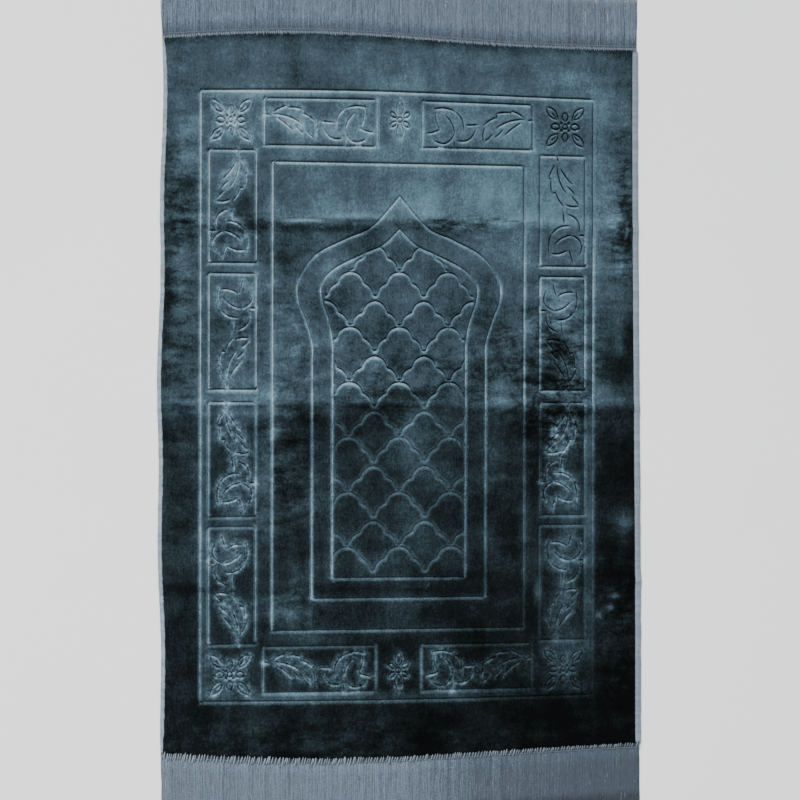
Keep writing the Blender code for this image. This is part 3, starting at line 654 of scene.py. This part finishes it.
# Small wrinkles at the folds: from, to, swell, half width, change of tone (painted light and shade),
# rise
WRINKLES = (
    # first fold
    (-392, 297, -332, 297, 1, 3.4, 160, 0.6), (-352, 288, -318, 284, 0, 2.6, 160, 0.5),
    (-312, 300, -282, 301, 0, 3.4, 140, 0.5), (-206, 291.5, -130, 291.5, 1, 2.2, 240, 1),
    (-203, 296, -132, 297, 1, 1.3, -160, -0.6), (-228, 283, -100, 280, -1, 6, -120, -0.4),
    (-150, 298, -30, 301, 2, 4, 140, 0.8), (-100, 293, -32, 294, 1, 1.6, -180, -0.5),
    (-142, 282, -132, 280, 0, 2.2, 200, 0.6), (-86, 288, -78, 285, 0, 1.8, 180, 0.5),
    (34, 296, 78, 298, -1, 1.6, -320, -0.6), (38, 289, 70, 280, 3, 1.8, 290, 0.6),
    (62, 293, 104, 283, -3, 1.8, 220, 0.6), (88, 288, 120, 279, 2, 2, 220, 0.5),
    (146, 298.5, 200, 295.5, 1, 1.3, -300, -0.8), (110, 294, 192, 290.5, 0, 3, 120, 0.6),
    (345, 291, 372, 280, 3, 2.6, 180, 0.6), (383, 300, 378, 266, 3, 2.4, 260, 0.8),
    (390, 306, 386, 262, 2, 2.6, -200, -0.5),
    # second fold
    (-392, -8.5, -338, -10, 1, 4.6, 140, 0.8), (-388, -18, -180, -17, 1, 1.6, -100, -0.5),
    (-105, -17.5, 100, -19.5, 2, 1.8, -120, -0.5), (-100, -8, 20, -10, 2, 3, 100, 0.6),
    (226, 29, 300, 27.5, 0, 1.4, -160, -0.5), (276, -19, 300, -40, 6, 1.8, 220, 0.6),
    (330, 22, 392, 25, 1, 1.6, -140, -0.5), (325, -6, 392, -4, 1, 4, 100, 0.6),
    # right blocks under it
    (234, -39, 278, -41, 1, 2.4, 200, 0.5), (238, -47, 272, -47, 0, 2.2, -200, -0.5),
    (234, -53, 268, -55, 1, 2, 180, 0.5), (236, -60, 266, -59, 0, 2, -180, -0.4),
    (246, -66, 276, -67.5, 1, 1.8, 140, 0.4),
    # arch in the right field
    (139, -144, 200, -145, 9, 3, 150, 0.3),
    # third fold
    (34, -325, 46, -302, -3, 1.4, 200, 0.5), (46, -302, 82, -302, -3, 1.2, -120, -0.3),
    (-392, -318, -330, -319, 1, 6, -60, -0.4), (60, -346, 36, -364, 1, 2, -100, -0.4),
)


def wrinkle_of(x, y):
    """What the wrinkles add to height, and to tone as painted light and shade."""
    points = np.column_stack((x, y))
    tone, rise = np.zeros_like(x), np.zeros_like(x)
    for x0, y0, x1, y1, swell, width, change, lift in np.array(WRINKLES) / 1000:
        path = np.array(arc(Vector((x0, y0)), Vector((x1, y1)), swell, WRINKLE_STEP))
        near = close_by(points, path, 3 * width)
        away, share, _ = distance(points[near], path, np.linspace(0, 1, len(path)))
        force = np.exp(-(np.hypot(*away.T) / width) ** 2) * (1 - np.abs(2 * share - 1) ** 3)
        tone[near] += change * force
        rise[near] += lift * force
    return tone, rise


def spots(table, x, y):
    """The sum of a table's soft spots."""
    total = np.zeros_like(x)
    for cx, cy, width, length, much in np.array(table) / 1000:
        total += much * np.exp(-(((x - cx) / width) ** 2) - ((y - cy) / length) ** 2)
    return total


# Where the pile shows crumpled mottle and painted crease shade: x, y, half width, half length, how
# much
MOTTLE_AND_SHADE_SPOTS = (
    (90, 287, 120, 16, 1000), (375, 270, 30, 60, 1100), (-290, 285, 90, 24, 800),
    (380, 360, 30, 110, 900), (-372, 220, 34, 300, 700), (270, 70, 60, 120, 1300),
    (170, 40, 80, 90, 700), (-190, 120, 70, 140, 500), (-30, 40, 110, 60, 700),
    (262, -60, 40, 60, 1200), (-200, -110, 50, 130, 600), (-184, -350, 40, 36, 700),
    (375, -380, 30, 120, 900), (0, -570, 400, 30, 500),
)


def crumple_mottle_and_shade_of(x, y):
    return np.minimum(0.12 + spots(MOTTLE_AND_SHADE_SPOTS, x, y), 1.4)


def tone_of(x, y):
    """How light the open pile looks, from 0 to 1, its painted light and shade included."""
    places, lefts, rights = zip(*TONES[::-1])
    bent = y + 0.004 * noise(x, y, 5, 0.03)
    left, right = np.interp(bent, places, lefts), np.interp(bent, places, rights)
    tone = between(left, right, ramp(x, -0.2, 0.3))
    # painted shade along the sides and at the ends of the mat
    edge = ramp(np.abs(x), *SIDE_DIM_FROM)
    left, right, more = PAINTED_SIDE_SHADE
    tone *= 1 - edge * np.where(x < 0, left, right + more * ramp(-y, 0.0, 0.3))
    end_shade = np.where(y > 0, *PAINTED_END_SHADE)
    tone *= 1 - end_shade * ramp(np.abs(y), HALF_LENGTH - 0.014, HALF_LENGTH - 0.002)
    inward = np.minimum(OUTER_FRAME[0] - np.abs(x - AXIS_X), OUTER_FRAME[1] - np.abs(y))
    strip = ramp(inward, 0.0, 0.003) * ramp(inward, 0.018, 0.012)
    return tone + strip * by_place(np.column_stack((x, y)), STRIP_TONE) + spots(MARKS, x, y)


def triangles(flat):
    """Triangles over points of the plan, all facing up."""
    result = delaunay_2d_cdt([Vector(point) for point in flat], [], [], 0, 1e-7)
    if len(result[0]) != len(flat):
        raise ValueError("points of the mat have merged")
    faces = np.array(result[2])
    a, b, c = (flat[faces[:, corner]] for corner in range(3))
    down = np.cross(b - a, c - a) < 0
    faces[down] = faces[down][:, ::-1]
    return faces


def top_sheet(grooves):
    """Points of the pile's upper side, the rim's loop first, and that loop's length."""
    loops = [rim_loop(inset) for inset, _ in RIM]
    rows = [entry for groove in grooves for entry in beside(groove)]
    rows.append((LOOSE_ORDER, open_points(grooves, np.random.default_rng(21))))
    order = np.concatenate([np.full(len(row), number) for number, row in rows])
    inner = thinned(np.concatenate([row for _, row in rows]), order)
    room = np.array((HALF_WIDTH, HALF_LENGTH)) - RIM[-1][0] - CLOSEST
    inner = inner[np.all(np.abs(inner) < room, axis=1)]
    return np.concatenate(loops + [inner]), len(loops[0])


def spread(points):
    """Where points of the pile lean out to, near the rim."""
    x, y = points.T
    to_side, to_end = HALF_WIDTH - np.abs(x), HALF_LENGTH - np.abs(y)
    side, end = (ramp(gap, SPREAD_FROM, 0.0) ** 2 for gap in (to_side, to_end))
    reach, flare = CORNER_FLARE
    out = SPREAD["side"] + flare * ramp(to_end, reach, 0.0) ** 1.5 + 0.0008 * noise(x, y, 11, 0.007)
    out *= np.where(x > 0, RIGHT_SPREAD, 1.0)
    up = SPREAD["end"] + 0.0007 * noise(x, y, 12, 0.004)
    return np.column_stack((x + np.sign(x) * side * out, y + np.sign(y) * end * up))


def mat_mesh(grooves):
    """The closed mat, with the values that its material reads."""
    flat, rim_count = top_sheet(grooves)
    x, y = flat.T
    found = measure(grooves, flat)
    inward = np.minimum(HALF_WIDTH - np.abs(x), HALF_LENGTH - np.abs(y))
    change, lift = wrinkle_of(x, y)
    relief = (pile_relief(x, y) + lift) * ramp(inward, 0.0, 0.004)
    height = MAT_HEIGHT - found["depth"] - np.interp(inward, *zip(*RIM)) + relief
    rows = [np.column_stack((spread(flat), height))]
    loop = rim_loop(0.0)
    full = spread(loop) - loop
    for level, share in WALL_LEVELS:
        rows.append(np.column_stack((loop + share * full, np.full(rim_count, level))))
    xs = np.arange(-HALF_WIDTH + BACK_STEP, HALF_WIDTH - 0.01, BACK_STEP)
    ys = np.arange(-HALF_LENGTH + 0.01, HALF_LENGTH - 0.005, BACK_STEP / 3)
    grid = np.array([(gx, gy) for gx in xs for gy in ys])
    rows.append(np.column_stack((grid, np.zeros(len(grid)))))

    starts = [0] + [len(flat) + number * rim_count for number in range(len(WALL_LEVELS))]
    turn = np.arange(rim_count)
    after = (turn + 1) % rim_count
    groups = [triangles(flat), triangles(np.concatenate((loop, grid)))[:, ::-1] + starts[-1]]
    for upper, lower in zip(starts, starts[1:]):
        groups.append(np.column_stack((upper + after, upper + turn, lower + turn, lower + after)))
    points = np.concatenate(rows)
    values = {name: np.zeros(len(points)) for name in PILE_VALUES}
    values["tone"] += BACK_TONE
    found |= {"tone": tone_of(x, y) + change, "crumple": crumple_mottle_and_shade_of(x, y)}
    for name in PILE_VALUES:
        values[name][: len(flat)] = found[name]
    return lay(points), [tuple(face) for group in groups for face in group], values


# ---- threads and fibres
UP = (0.0, 0.0, 1.0)


def tube_faces(count, length, sides):
    base = np.arange(count)[:, None, None] * length * sides
    along = base + np.arange(length - 1)[None, :, None] * sides
    turn = np.arange(sides)
    a, b = along + turn, along + (turn + 1) % sides
    quads = np.stack((a, b, b + sides, a + sides), axis=-1).reshape(-1, 4)
    starts = base[:, 0] + turn[::-1]
    stops = base[:, 0] + (length - 1) * sides + turn
    return [tuple(face) for face in quads.tolist() + starts.tolist() + stops.tolist()]


def tubes(paths, radii, sides, reference=UP):
    """Closed tubes round many paths at once; paths is (tubes, points, 3)."""
    ways = np.gradient(paths, axis=1)
    ways /= np.maximum(np.linalg.norm(ways, axis=2, keepdims=True), 1e-9)
    first = np.cross(ways, reference)
    first /= np.maximum(np.linalg.norm(first, axis=2, keepdims=True), 1e-9)
    second = np.cross(ways, first)
    turns = np.arange(sides)[:, None] * math.tau / sides
    around = first[:, :, None] * np.cos(turns) + second[:, :, None] * np.sin(turns)
    rings = paths[:, :, None] + around * radii[:, :, None, None]
    return rings.reshape(-1, 3), tube_faces(*paths.shape[:2], sides)


def swept(profile, stations, place):
    points = [place(station, u, z) for station in stations for u, z in profile]
    return lay(points), tube_faces(1, len(stations), len(profile))


def laid(paths):
    return lay(paths.reshape(-1, 3)).reshape(paths.shape)


TUFT_STEP = 0.0011
TUFT_LINE = ((0.0, 0.0078), (0.5, 0.007), (1.0, 0.0052))  # share of the way out, height
TUFT_RADII = (0.0008, 0.0006, 0.0001)
TUFT_REACH = (0.0012, 0.0042)
TUFT_ROOT = (0.0008, 0.0022)  # in from the rim
TUFT_STRAY = 0.0007
END_TUFT_REACH = 0.55  # of that, at the ends


def edge_tufts():
    """Loose pile fibres that lean out over tapes and stitches."""
    draw = np.random.default_rng(31)
    sizes = (HALF_WIDTH, HALF_LENGTH)
    tufts, tones = [], []
    for side in (-1, 1):
        for crosswise, (length, half) in ((True, sizes), (False, sizes[::-1])):
            places = np.arange(-length, length, TUFT_STEP)
            count = len(places)
            places += draw.uniform(-0.5, 0.5, count) * TUFT_STEP
            reach = draw.uniform(*TUFT_REACH, count)
            reach *= END_TUFT_REACH if crosswise else (1.0 if side < 0 else RIGHT_SPREAD)
            stray = draw.normal(0, TUFT_STRAY, count)
            root = half - draw.uniform(*TUFT_ROOT, count)
            line = []
            for way, height in TUFT_LINE:
                out = side * (root + (reach + 0.0015) * way)
                along = places + stray * way
                flat = (along, out) if crosswise else (out, along)
                line.append(np.stack((*flat, np.full(count, height)), axis=-1))
            tufts.append(np.stack(line, axis=1))
            tones.append(tone_of(*line[0].T[:2]) * draw.uniform(0.5, 1.1, count))
    paths = laid(np.concatenate(tufts))
    points, faces = tubes(paths, np.tile(TUFT_RADII, (len(paths), 1)), 3)
    values = {name: np.zeros(len(points)) for name in PILE_VALUES}
    values["tone"] = np.repeat(np.concatenate(tones), 3 * len(TUFT_LINE))
    return points, faces, values


STRANDS = 6600  # on each end
STRAND_POINTS = 5
STRAND_RADIUS = 0.00042
STRANDS_FROM = 0.0056  # out from the mat
LOCK_LEAN = 0.0004
LOCK_GATHER = 0.05
LOCK_UNEVEN = 0.003
STRAND_UNEVEN = 0.0012
STRAND_HEIGHT = (0.0006, 0.0017)  # of the lowest, and from there to the highest


def strand_paths(end, draw):
    """Fine threads that gather loosely into locks and stray."""
    half = FULL_HALF - 0.001
    roots = np.linspace(-half, half, STRANDS) + draw.uniform(-0.0003, 0.0003, STRANDS)
    roots = np.clip(roots, -half, half)[:, None]
    pitch = 2 * half / LOCKS
    lock = np.minimum(np.floor((roots + half) / pitch), LOCKS - 1).astype(int)
    middle = -half + pitch * (lock + 0.5)
    lock_draw = np.random.default_rng(40 + end)
    lean = lock_draw.normal(0, LOCK_LEAN, LOCKS + 1)[lock]
    gather = lock_draw.uniform(0.0, LOCK_GATHER, LOCKS + 1)[lock]
    longer = lock_draw.uniform(-LOCK_UNEVEN, LOCK_UNEVEN, LOCKS + 1)[lock]
    t = np.linspace(0, 1, STRAND_POINTS)
    reach = LOCK_LENGTH[end] + longer + draw.normal(0, STRAND_UNEVEN, STRANDS)[:, None]
    y = END_EDGE + STRANDS_FROM + t * (HEADING_WIDTH - STRANDS_FROM + reach)
    x = roots + (middle - roots) * (t**1.2 * gather) + lean * t
    wide, bent, fine = draw.normal(0, 1, (STRANDS, 3)).T[:, :, None]
    x += 0.0016 * wide * t + 0.0008 * bent * np.sin(4.5 * t) + 0.0004 * fine * np.sin(11 * t + wide)
    layer = draw.uniform(0, 1, STRANDS)
    low, deep = STRAND_HEIGHT
    z = (low + deep * layer[:, None]) * (1 - 0.45 * t**2) + 0.0006 * np.exp(-t * 8)
    z += 0.0002 * np.sin(9 * t + 3 * bent)
    return np.stack((x, end * y, z), axis=-1), layer


# How much darker the threads get to the right, as painted shade: amount, from x, to x
FRINGE_SHADE = {1: ((0.12, 0.05, 0.25),), -1: ((0.55, 0.0, 0.13), (0.4, 0.13, 0.4))}


def fringe_threads(end):
    draw = np.random.default_rng(60 + end)
    paths, layer = strand_paths(end, draw)
    paths = laid(paths)
    paths[..., 2] = np.maximum(paths[..., 2], STRAND_RADIUS)  # none sinks into the floor
    thin = np.linspace(1.0, 0.72, STRAND_POINTS)
    radii = STRAND_RADIUS * draw.uniform(0.8, 1.2, (STRANDS, 1)) * thin
    points, faces = tubes(paths, radii, 3)
    light = 0.3 + 0.4 * layer + draw.uniform(-0.4, 0.4, STRANDS)
    for amount, start, stop in FRINGE_SHADE[end]:
        light -= amount * ramp(paths[:, 0, 0], start, stop)
    return points, faces, {"shade": np.repeat(light, STRAND_POINTS * 3)}


STITCH_POINTS = 8
STITCH_RADIUS = {1: 0.0008, -1: 0.00105}
STITCH_PITCH = {1: 0.0029, -1: 0.0038}
STITCH_SIDES = 5
# From the pile to the foot: share of the way, height, share of the radius
STITCH_LINE = (
    (0.0, 0.0074, 0.15), (0.2, 0.0082, 0.65), (0.42, 0.0074, 0.95),
    (0.6, 0.0056, 1.05), (0.78, 0.004, 1.0), (1.0, 0.0022, 0.6),
)
# At the left and at the right: reach into the pile, slant, lightness, reach outward
STITCH_LOOK = {
    1: ((0.0062, -0.0024, 0.08, 0.0064), (0.0046, -0.0008, 0.05, 0.0064)),
    -1: ((0.0066, -0.0042, 1.05, 0.0135), (0.004, -0.001, 0.45, 0.0074)),
}


def stitch_places(end, draw):
    """Places along an end, in uneven groups with gaps between them."""
    pitch = STITCH_PITCH[end]
    half = FULL_HALF - 0.002
    places, x = [], -half
    while x < half:
        for _ in range(draw.integers(2, 6)):
            places.append(x)
            x += pitch * draw.uniform(0.75, 1.25)
        x += pitch * draw.uniform(0.1, 0.9)
    return np.array([place for place in places if place < half])


def whip_stitches(end):
    draw = np.random.default_rng(80 + end)
    roots = stitch_places(end, draw)[:, None]
    size = roots.shape
    t = np.linspace(0, 1, STITCH_POINTS)
    way, heights, shares = zip(*STITCH_LINE)
    left, right = np.array(STITCH_LOOK[end])
    deep, slant, light, far_out = between(left, right, ramp(roots, -0.35, 0.35)).T[:, :, None]
    deep = deep * draw.uniform(0.25, 1.05, size)
    out = far_out * draw.uniform(0.8, 1.2, size)
    x = roots - (slant + draw.normal(0, 0.0007, size)) * (1 - t)
    y = between(HALF_LENGTH - deep, END_EDGE + out, t)
    z = np.interp(t, way, heights) - 0.0016 * (1 - np.clip(deep / 0.005, 0, 1)) * (1 - t)
    z = z + draw.uniform(-0.0003, 0.0003, size)
    paths = laid(np.stack((x, end * y, z), axis=-1))
    radii = STITCH_RADIUS[end] * draw.uniform(0.7, 1.25, size) * np.interp(t, way, shares)
    points, faces = tubes(paths, radii, STITCH_SIDES, (1.0, 0.0, 0.0))
    tint = light[:, 0] * draw.uniform(0.5, 1.25, len(roots))
    return points, faces, {"shade": np.repeat(tint, STITCH_POINTS * STITCH_SIDES)}


CHAIN_LINK = 0.0042
CHAIN_RADIUS = 0.0003
CHAIN_OUT = (0.0082, 0.00055)  # from the mat: its middle, and its swing to both sides
CHAIN_HEIGHT = (0.0034, 0.0003)
CHAIN_SHADE = 0.2


def chain_stitch(end):
    """Two twisted threads along the heading's outer edge."""
    half = FULL_HALF - 0.001
    x = np.arange(-half, half, CHAIN_LINK / 8)
    paths = []
    for turn in (0.0, math.pi):
        phase = math.tau * x / CHAIN_LINK + turn
        y = END_EDGE + CHAIN_OUT[0] + CHAIN_OUT[1] * np.sin(phase)
        z = CHAIN_HEIGHT[0] + CHAIN_HEIGHT[1] * np.cos(phase) + 0.0002 * noise(x, y, 7, 0.01)
        paths.append(np.stack((x, end * y, z), axis=-1))
    paths = laid(np.array(paths))
    points, faces = tubes(paths, np.full(paths.shape[:2], CHAIN_RADIUS), 4)
    return points, faces, {"shade": np.full(len(points), CHAIN_SHADE)}


# Sections of the heading and of a side's wrapping: out from the mat, and up
HEADING_PROFILE = (
    (0.0, 0.0002), (0.0, 0.0022), (0.0012, 0.0026), (0.004, 0.0025),
    (0.007, 0.0022), (0.009, 0.0014), (0.0094, 0.0002),
)
WRAP_PROFILE = (
    (0.0002, 0.0004), (0.003, 0.0001), (0.007, 0.0001), (0.0092, 0.0009), (0.01, 0.0024),
    (0.0096, 0.004), (0.0078, 0.005), (0.0052, 0.0054), (0.0024, 0.0052), (0.0006, 0.0045),
)
HEADING_SHADE = {1: 0.25, -1: -0.2}
HEADING_STATIONS = 400
HEADING_RIBS = (0.00015, 2600)  # height, radians per metre
WRAP_STEP = 0.0011
WRAP_SHADE = {-1: 0.5, 1: 0.0}
WRAP_WIDTH = {-1: 1.0, 1: 1.22}


def heading(end):
    half = FULL_HALF - 0.0005

    def place(station, u, z):
        height, rate = HEADING_RIBS
        swell = height * math.sin(station * rate) if z > 0.001 else 0.0
        return (station, end * (END_EDGE + u), z + swell)

    points, faces = swept(HEADING_PROFILE, np.linspace(-half, half, HEADING_STATIONS), place)
    return points, faces, {"shade": np.full(len(points), HEADING_SHADE[end])}


def side_wrap(side):
    """The tape round a side, finely ribbed across."""
    half = HALF_LENGTH
    stations = np.arange(-half, half, WRAP_STEP)
    wobble = 0.00035 * noise(stations, stations * 0 + side, 8, 0.013)
    rib = 0.00012 * np.cos(math.pi * np.arange(len(stations)))
    end_fade = np.minimum(1.0, (half - np.abs(stations) + 0.0015) / 0.004)

    def place(number, u, z):
        full = (1 + 0.1 * (end_fade[number] - 1)) * (1 + rib[number] / 0.005)
        out = u * WRAP_WIDTH[side] * (1 + wobble[number] / 0.01)
        return (side * (HALF_WIDTH + out), stations[number], z * full)

    points, faces = swept(WRAP_PROFILE, range(len(stations)), place)
    shade = WRAP_SHADE[side] + 0.5 * noise(stations, stations * 0, 9 + side, 0.004)
    return points, faces, {"shade": np.repeat(shade, len(WRAP_PROFILE))}


# ---- materials
class Shader:
    """A material's nodes, built by short calls."""

    def __init__(self, name):
        self.material = bpy.data.materials.new(name)
        self.material.use_nodes = True
        self.tree = self.material.node_tree
        self.surface = self.tree.nodes["Principled BSDF"]

    def feed(self, node, inputs):
        """Set a node's inputs to values or link them to other nodes' outputs."""
        for name, item in inputs.items():
            if isinstance(item, bpy.types.NodeSocket):
                self.tree.links.new(item, node.inputs[name])
            else:
                node.inputs[name].default_value = item

    def add(self, kind, inputs, **settings):
        node = self.tree.nodes.new("ShaderNode" + kind)
        for name, value in settings.items():
            setattr(node, name, value)
        self.feed(node, inputs)
        return node

    def set(self, **values):
        self.feed(self.surface, {name.replace("_", " "): item for name, item in values.items()})

    def value(self, name):
        return self.add("Attribute", {}, attribute_name=name).outputs["Fac"]

    def noise(self, scale, detail=3.0, stretch=(1, 1, 1), rough=0.55):
        """Noise in stretched object coordinates."""
        flat = self.add("TexCoord", {}).outputs["Object"]
        place = self.add("Mapping", {"Vector": flat, "Scale": stretch}).outputs["Vector"]
        look = {"Vector": place, "Scale": scale, "Detail": detail, "Roughness": rough}
        return self.add("TexNoise", look).outputs["Fac"]

    def math(self, kind, *items):
        return self.add("Math", dict(enumerate(items)), operation=kind).outputs[0]

    def scaled(self, item, factor, offset):
        return self.math("MULTIPLY_ADD", item, factor, offset)

    def centred(self, *look):
        return self.math("SUBTRACT", self.noise(*look), 0.5)

    def colour(self, factor, stops):
        node = self.add("ValToRGB", {"Fac": factor})
        elements = node.color_ramp.elements
        while len(elements) < len(stops):
            elements.new(0.5)
        for element, (position, colour) in zip(elements, stops):
            element.position = position
            element.color = (*colour, 1.0)
        self.set(Base_Color=node.outputs["Color"])

    def bump(self, height, distance, strength=1.0):
        node = self.add("Bump", {"Height": height, "Distance": distance, "Strength": strength})
        self.set(Normal=node.outputs["Normal"])


PILE_COLOURS = (
    (0.0, (0.0011, 0.0015, 0.0015)), (0.16, (0.0043, 0.0065, 0.0071)),
    (0.3, (0.0125, 0.0215, 0.0263)), (0.5, (0.0415, 0.0685, 0.0869)),
    (0.7, (0.095, 0.165, 0.207)), (1.0, (0.2846, 0.3731, 0.4154)),
)
# Clouds, brushed ways lengthwise and crosswise, hairs, grain: scale, stretch, strength
PILE_NOISES = (
    (9, (1, 1, 1), 0.5), (34, (1, 0.3, 1), 0.26), (30, (0.25, 1, 1), 0.22),
    (330, (1, 0.22, 1), 0.2), (260, (1, 1, 1), 0.29), (620, (1, 0.6, 1), 0.29),
)


def pile_material():
    s = Shader("plush pile")
    total = s.value("tone")
    for scale, stretch, strength in PILE_NOISES:
        total = s.scaled(s.centred(scale, 4, stretch, 0.62), strength, total)
    # crumpled places: smears of mottled pile, and small dark creases in them as painted shade
    crease = s.math("ABSOLUTE", s.centred(32, 3, (0.6, 1, 1), 0.6))
    crease = s.math("MINIMUM", s.scaled(crease, 3.0, -0.12), 0.0)
    ruffled = s.scaled(s.centred(44, 4, (0.45, 1, 1), 0.62), 1.0, crease)
    total = s.scaled(ruffled, s.value("crumple"), total)
    # patchy painted sheen round the motifs, painted light on the banks and painted shade in the cuts
    patchy = s.math("MAXIMUM", s.scaled(s.noise(120, 4, rough=0.75), 4.0, -1.35), 0.0)
    total = s.scaled(s.math("MULTIPLY", s.value("dust"), patchy), 0.26, total)
    uneven = s.scaled(s.noise(60, 4, rough=0.65), 1.2, 0.4)
    speckled = s.scaled(s.noise(380, 3, rough=0.7), 1.6, 0.2)
    band = s.math("MULTIPLY", s.math("MULTIPLY", s.value("band"), uneven), speckled)
    total = s.scaled(band, 0.32, total)
    total = s.scaled(s.value("core"), -0.42, total)
    s.colour(total, PILE_COLOURS)
    s.bump(s.scaled(s.noise(1300, 2), 0.4, s.noise(420, 3, (1, 0.5, 1), 0.7)), 0.0016)
    s.set(Roughness=0.85, Sheen_Weight=0.02, Sheen_Roughness=0.45, Specular_IOR_Level=0.04)
    s.set(Sheen_Tint=(0.75, 0.88, 1.0, 1.0))
    return s.material


def thread_material(name, dark, light, roughness, scale, sheen, speckle=0.9):
    s = Shader(name)
    shade = s.scaled(s.centred(scale, 2), speckle, s.value("shade"))
    s.colour(shade, ((0.0, dark), (1.0, light)))
    s.bump(s.noise(scale * 2, 2), 0.0003, 0.6)
    s.set(Roughness=roughness, Sheen_Weight=sheen)
    return s.material


def floor_material():
    s = Shader("pale floor")
    s.colour(s.noise(3, 2), ((0.3, (0.92, 0.92, 0.91)), (0.7, (0.94, 0.94, 0.93))))
    s.set(Roughness=0.8)
    return s.material


# ---- the scene
FLOOR_HALF = 4
KEY_FROM = (-0.3, 1.0, 0.66)
KEY_ENERGY = 3.9
KEY_ANGLE = math.radians(9)
FILL_PLACE = (-0.9, -0.2, 3.0)
FILL_AIM = (-0.1, 0.0, 0.0)
FILL_SIZE = 2.0
FILL_ENERGY = 70
SKY = ((0.93, 0.96, 1.0, 1.0), 0.62)  # colour, strength
CAMERA_PLACE = (-0.2107, 0.0056, 2.2)
CAMERA_TURN = (-0.0053, -0.0932, 0.0027)
LENS = (59.1, 36.0)  # focal length and sensor width, in millimetres


def put(name, data, place=(0, 0, 0), turn=(0, 0, 0)):
    thing = bpy.data.objects.new(name, data)
    thing.location = place
    thing.rotation_euler = turn
    bpy.context.scene.collection.objects.link(thing)
    return thing


def add_piece(name, points, faces, values, material):
    mesh = bpy.data.meshes.new(name)
    mesh.from_pydata([tuple(point) for point in np.asarray(points).tolist()], [], faces)
    for label, numbers in values.items():
        layer = mesh.attributes.new(label, "FLOAT", "POINT")
        layer.data.foreach_set("value", np.asarray(numbers, dtype=np.float32))
    mesh.polygons.foreach_set("use_smooth", [True] * len(mesh.polygons))
    mesh.materials.append(material)
    mesh.validate()
    return put(name, mesh)


def add_part(name, parts, material, node, stands_for_it=True):
    """A piece that belongs to a node of the frame, and may stand for it."""
    piece = add_piece(name, *parts, material)
    if stands_for_it:
        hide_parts(node)
    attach(piece, "root")
    return piece


def joined(*parts):
    points, faces, shades, first = [], [], [], 0
    for some, polygons, values in parts:
        points.append(some)
        faces += [tuple(corner + first for corner in polygon) for polygon in polygons]
        shades.append(values["shade"])
        first += len(some)
    return np.concatenate(points), faces, {"shade": np.concatenate(shades)}


def set_stage():
    """A pale floor, a low key light from the far left, a soft fill, and the camera."""
    corners = [(x * FLOOR_HALF, y * FLOOR_HALF, 0) for x, y in ((-1, -1), (1, -1), (1, 1), (-1, 1))]
    floor = add_piece("floor", corners, [(0, 1, 2, 3)], {}, floor_material())
    floor.location.z = -0.0001
    key = bpy.data.lights.new("key", "SUN")
    key.energy = KEY_ENERGY
    key.angle = KEY_ANGLE
    put("key", key, turn=Vector(KEY_FROM).to_track_quat("Z", "Y").to_euler())
    fill = bpy.data.lights.new("fill", "AREA")
    fill.shape = "RECTANGLE"
    fill.size = fill.size_y = FILL_SIZE
    fill.energy = FILL_ENERGY
    way = Vector(FILL_AIM) - Vector(FILL_PLACE)
    put("fill", fill, FILL_PLACE, way.to_track_quat("-Z", "Y").to_euler())
    world = bpy.data.worlds.new("studio")
    world.use_nodes = True
    background = world.node_tree.nodes["Background"].inputs
    background["Color"].default_value, background["Strength"].default_value = SKY
    bpy.context.scene.world = world
    camera = put("camera", bpy.data.cameras.new("camera"), CAMERA_PLACE, CAMERA_TURN)
    camera.data.lens, camera.data.sensor_width = LENS
    bpy.context.scene.camera = camera


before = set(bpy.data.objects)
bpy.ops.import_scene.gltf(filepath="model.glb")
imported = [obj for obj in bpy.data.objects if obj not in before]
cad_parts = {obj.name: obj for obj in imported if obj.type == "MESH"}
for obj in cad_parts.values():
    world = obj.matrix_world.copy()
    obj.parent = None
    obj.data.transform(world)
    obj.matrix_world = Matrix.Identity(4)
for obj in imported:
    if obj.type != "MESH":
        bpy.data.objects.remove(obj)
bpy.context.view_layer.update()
set_stage()
pile = pile_material()
thread = thread_material(
    "fringe thread", (0.028, 0.046, 0.068), (0.15, 0.206, 0.276), 0.7, 620, 0.2, speckle=2.4
)
stitch = thread_material("sewing thread", (0.077, 0.108, 0.139), (0.254, 0.315, 0.369), 0.6, 1200, 0.2)
satin = thread_material("satin tape", (0.131, 0.169, 0.215), (0.223, 0.277, 0.331), 0.42, 1500, 0.1)
mat = add_part("plush_mat", mat_mesh(embossing()), pile, "pile_mat")
trims = [add_part("edge_fibres", edge_tufts(), pile, "pile_mat", stands_for_it=False)]
for end, name in ((1, "far"), (-1, "near")):
    node = f"fringe_{name}"
    threads = joined(fringe_threads(end), heading(end))
    trims.append(add_part(f"{name}_threads", threads, thread, node))
    sewing = joined(whip_stitches(end), chain_stitch(end))
    trims.append(add_part(f"{name}_stitches", sewing, stitch, node, stands_for_it=False))
for side, name in ((-1, "left"), (1, "right")):
    trims.append(add_part(f"{name}_wrap", side_wrap(side), satin, f"side_binding_{name}"))
